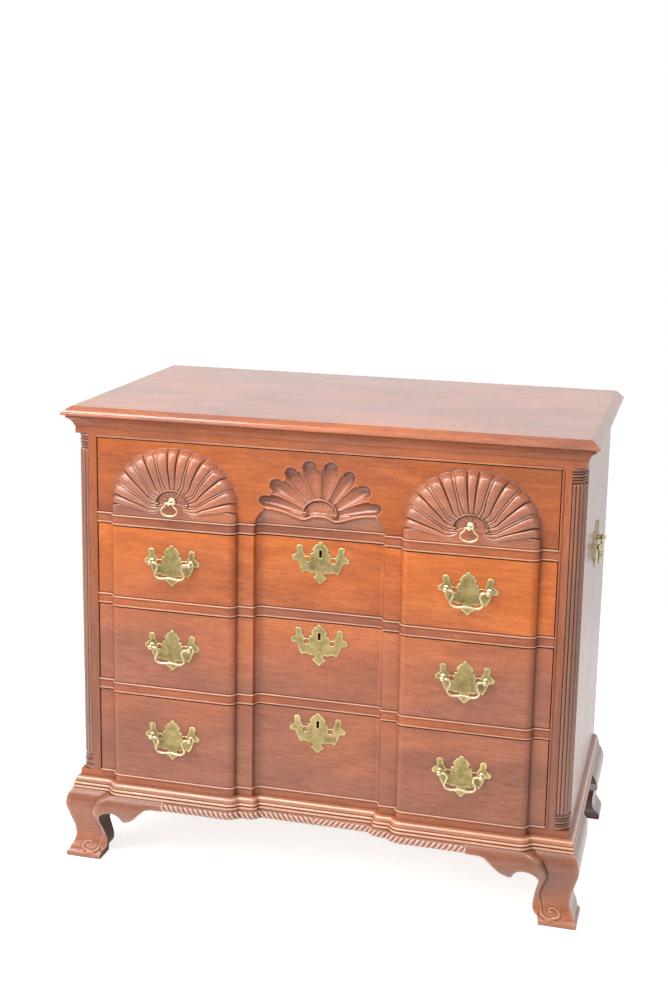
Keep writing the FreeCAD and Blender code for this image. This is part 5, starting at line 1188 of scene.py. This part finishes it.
def make_plates(finish):
    """The six pull plates, three escutcheons and two side handle plates."""
    pull, keyed, (handle, handle_faces) = plate_mesh(PULL_POST), plate_mesh(), plate_mesh(HANDLE_POST)
    for n in (2, 3, 4):
        for name, x, z, face, (points, faces) in (
            ("left", -BLOCK_MIDDLE, PULL_PLACES[n], -BLOCK_RISE, pull),
            ("right", BLOCK_MIDDLE, PULL_PLACES[n], -BLOCK_RISE, pull),
            ("middle", 0.0, ESCUTCHEON_PLACES[n], RECESS_FALL, keyed),
        ):
            place = points * (1, -1, 1) + (x, face, z)
            drawer = f"drawer_{n}"
            add_piece(f"{drawer}_plate_{name}", place, faces, 30, finish, "brass", drawer, f"{drawer}_plates")
    along, out, up = (handle * (HANDLE_SCALE, 1, HANDLE_SCALE)).T
    node = "side_handle_plates"
    for name, sign in SIDES:
        place = np.stack([sign * (CASE_HALF + out), HANDLE_Y + sign * along, up + HANDLE_Z], -1)
        add_piece(f"side_plate_{name}", place, handle_faces, 30, finish, "brass", "case", node)


def lathe(profile, count=28):
    """A closed turning about the forward axis from (radius, forward) rows."""
    rings = [circle(0.0, 0.0, radius, count) for radius, _ in profile]
    points = [np.insert(ring, 1, -forward, axis=1) for ring, (_, forward) in zip(rings, profile)]
    return np.concatenate(points), tube_faces(len(profile), count)


def make_drop_posts(finish):
    """The two small posts of the top drawer: domed rosette, knuckle, shank and nut."""
    pivot_y, pivot_z = (value - DROP_WIRE for value in node_box("drawer_1_bail_left")[1].yz)
    seat = -BLOCK_RISE
    reach, inside = seat - pivot_y, FRONT_BACK - seat
    shank = node_box("drawer_1_posts")[1].y - seat
    ball = [(reach + DROP_BALL * math.sin(t), DROP_BALL * math.cos(t)) for t in np.linspace(-1.02, 1.45, 13)]
    profile = [(DROP_SHANK, -shank), (DROP_SHANK, 0.0), *DROP_ROSETTE]
    profile += [(radius, forward) for forward, radius in ball] + [(0.3, reach + DROP_BALL)]
    points, faces = lathe(profile)
    nut, nut_faces = lathe([(NUT_RADIUS, -inside), (NUT_RADIUS, -inside - NUT_LENGTH)], 6)
    faces += shifted(nut_faces, len(points), turned=True)
    points = np.concatenate([points, nut])
    for name, sign in SIDES[::-1]:
        place = points + (sign * BLOCK_MIDDLE, seat, pivot_z)
        nodes = ("drawer_1_posts", "drawer_1_plates")
        add_piece(f"drop_post_{name}", place, faces, 35, finish, "brass", "drawer_1", *nodes)


# Quarter columns

# Heights from a column's end, and shares of its radius
COLUMN_TURNING = (
    (0.0, 0.93), (0.5, 0.97), (1.5, 1.0), (3.2, 1.0), (5.0, 0.985), (6.2, 0.94), (6.9, 0.885),
    (7.6, 0.885), (8.1, 0.93), (8.9, 0.965), (9.8, 0.955), (10.4, 0.9), (10.9, 0.88), (11.4, 0.91),
    (12.6, 0.98), (14.2, 0.99), (15.6, 0.965), (16.4, 0.9), (16.9, 0.88), (17.4, 0.92), (18.6, 0.985),
    (19.8, 0.97), (20.6, 0.9), (21.0, 0.875), (21.5, 0.9), (22.6, 0.955), (24.2, 0.95), (25.2, 0.9),
    (25.9, 0.855), (28.6, 0.85),
)
REEDS, COLUMN_POINTS = 5, 61
REED_START, REED_TIP = 28.6, 3.4
REED_ROWS = (0.3, 0.9, 1.8, 3.0, 5.0)
REED_CORE, REED_CREST = 0.85 * COLUMN_RADIUS, 0.975 * COLUMN_RADIUS


def make_columns(finish):
    """Reeded quarter columns with turned ends, let into the front corners."""
    low, high = (corner.z for corner in node_box("quarter_column_right"))
    axis = CASE_HALF - COLUMN_RADIUS
    turns = np.linspace(-90.0, 0.0, COLUMN_POINTS)
    across = (turns + 90.0) / 90.0 * REEDS % 1.0
    across[-1] = 1.0
    reed = np.sqrt(np.clip(1 - (2 * across - 1) ** 2 * 0.96, 0, 1))
    ends = [(z, np.full(len(turns), share * COLUMN_RADIUS)) for z, share in COLUMN_TURNING]
    for tip in REED_ROWS:
        grown = dome(max(0.0, 1 - tip / REED_TIP))
        crest = np.clip(reed - (1 - grown) * 0.8, 0, 1)
        ends.append((REED_START + tip, REED_CORE + (REED_CREST - REED_CORE) * crest))
    rows = []
    for place, radius in [(low + z, r) for z, r in ends] + [(high - z, r) for z, r in ends[::-1]]:
        x = np.append(axis + radius * np.cos(np.radians(turns)), axis)
        y = np.append(COLUMN_RADIUS + radius * np.sin(np.radians(turns)), COLUMN_RADIUS)
        rows.append(level_row(x, y, place))
    points, faces = np.concatenate(rows), tube_faces(len(rows), len(turns) + 1)
    for name, sign in SIDES:
        place, node = points * (sign, 1, 1), f"quarter_column_{name}"
        add_piece(f"reeded_column_{name}", place, sided(faces, sign), 40, finish, "show_wood", "case", node)


# Camera, light and floor

# The photograph's longer side and middle and the fitted lens in pixels; the camera in mm and radians
PHOTO_LONG, PHOTO_MIDDLE = 1000.0, (334.0, 500.0)
FOCAL, CENTRE = 1498.73, (318.29, 443.37)
CAMERA_PLACE = (652.16, -2434.75 + STILE_Y, 1342.46)
CAMERA_TURN, CAMERA_TILT, CAMERA_ROLL = -0.26315, 0.20248, 0.01585
SENSOR = 36.0

WHITE = (1.0, 1.0, 1.0, 1.0)
FLOOR_PAINT, FLOOR_GLOW = (0.88, 0.88, 0.88, 1.0), 0.74
FADE_START, FADE_RATE = 0.9, 1.1
FLOOR_REACH, FAR = 60000.0, 100.0
FILL_COLOUR = (1.0, 0.98, 0.95, 1.0)
FILL, FILL_TURN = 0.46, -0.10


def make_camera():
    """The camera, in the photograph's direction and with its framing."""
    level, sink = math.cos(CAMERA_TILT), math.sin(CAMERA_TILT)
    forward = Vector((math.sin(CAMERA_TURN) * level, math.cos(CAMERA_TURN) * level, -sink))
    right = Vector((math.cos(CAMERA_TURN), -math.sin(CAMERA_TURN), 0.0))
    up = right.cross(forward)
    roll_cos, roll_sin = math.cos(CAMERA_ROLL), math.sin(CAMERA_ROLL)
    data = bpy.data.cameras.new("Camera")
    data.sensor_width = SENSOR
    data.sensor_fit = "AUTO"
    data.lens = FOCAL / PHOTO_LONG * SENSOR
    data.shift_x = (PHOTO_MIDDLE[0] - CENTRE[0]) / PHOTO_LONG
    data.shift_y = (CENTRE[1] - PHOTO_MIDDLE[1]) / PHOTO_LONG
    data.clip_end = FAR
    camera = bpy.data.objects.new("Camera", data)
    across, upright = right * roll_cos + up * roll_sin, up * roll_cos - right * roll_sin
    axes = Matrix((across, upright, -forward)).transposed().to_4x4()
    camera.matrix_world = Matrix.Translation(Vector(CAMERA_PLACE) * MM) @ axes
    bpy.context.scene.collection.objects.link(camera)
    bpy.context.scene.camera = camera


def area_lamp(name, place, target, width, height, power):
    """A soft box that looks at a point."""
    data = bpy.data.lights.new(name, "AREA")
    data.shape = "RECTANGLE"
    data.size, data.size_y, data.energy = width, height, power
    lamp = bpy.data.objects.new(name, data)
    aim = (Vector(target) - Vector(place)).to_track_quat("-Z", "Y").to_matrix().to_4x4()
    lamp.matrix_world = Matrix.Translation(Vector(place)) @ aim
    bpy.context.scene.collection.objects.link(lamp)


def white_rays(g):
    """1 for the rays that show the background as it is: seen, mirrored or let through."""
    path = g.node("ShaderNodeLightPath")
    seen = g.math("MAXIMUM", path.outputs["Is Camera Ray"], path.outputs["Is Glossy Ray"])
    return g.math("MAXIMUM", seen, path.outputs["Is Transmission Ray"])


def make_floor():
    """A pale floor that keeps the shadow and fades to plain white a few metres away."""
    g = Graph(bpy.data.materials.new("FloorPaint"))
    paint = g.node("ShaderNodeBsdfDiffuse", {"Color": FLOOR_PAINT}).outputs[0]
    speckle = g.ramp(g.noise(g.mapped(), 3.0, 3.0, 0.5), ((0.3, 0.985), (0.7, 1.0)))
    glow = g.node("ShaderNodeEmission", {"Color": speckle, "Strength": FLOOR_GLOW}).outputs[0]
    near = g.node("ShaderNodeAddShader", {0: paint, 1: glow}).outputs[0]
    plain = g.node("ShaderNodeEmission", {"Strength": 1.0}).outputs[0]
    distance = g.node("ShaderNodeVectorMath", {0: g.mapped()}, operation="LENGTH").outputs["Value"]
    fade = g.times(g.less(distance, FADE_START), FADE_RATE, clamp=True)
    shown = g.show(g.blend(white_rays(g), paint, g.blend(fade, near, plain)))
    corners = [(x * FLOOR_REACH, y * FLOOR_REACH, 0) for x, y in ((-1, -1), (1, -1), (1, 1), (-1, 1))]
    floor = add_mesh("floor", corners, [(0, 1, 2, 3)])
    floor.data.materials.append(shown)


def make_world():
    """White where it is seen or mirrored, and a soft fill that is a little stronger from the left."""
    world = bpy.context.scene.world = bpy.data.worlds.new("World")
    g = Graph(world, "ShaderNodeOutputWorld")
    direction = g.node("ShaderNodeTexCoord").outputs["Generated"]
    strength = g.add(g.times(g.part(direction, "X"), FILL_TURN), FILL)
    fill = g.node("ShaderNodeBackground", {"Color": FILL_COLOUR, "Strength": strength}).outputs[0]
    white = g.node("ShaderNodeBackground", {"Color": WHITE, "Strength": 1.0}).outputs[0]
    g.show(g.blend(white_rays(g), fill, white))


def make_lamps():
    """Two soft boxes, one high over the front and one low and wide, and a small lamp for highlights."""
    area_lamp("LampTop", (-0.9, -1.5, 2.6), (0.0, -0.25, 0.6), 1.6, 0.9, 66.0)
    area_lamp("LampFront", (-2.6, -2.9, 2.2), (0.0, 0.0, 0.5), 2.2, 1.8, 64.0)
    area_lamp("LampSpark", (0.7, -1.7, 2.3), (0.0, -0.25, 0.6), 0.6, 0.4, 14.0)
    bpy.context.scene.view_settings.view_transform = "Standard"


# The whole

FINISHES = make_materials()
finish_nodes(FINISHES)
make_camera()
make_floor()
make_world()
make_lamps()
make_carved_front(FINISHES["front_1"], FINISHES["shell"])
make_base_moulding(FINISHES["base"])
make_gadroon_strip(FINISHES["gadroon"])
make_front_feet(FINISHES["foot"], FINISHES["foot_inside_shade"])
make_plates(FINISHES["plate"])
make_drop_posts(FINISHES["drop"])
make_columns(FINISHES["column"])
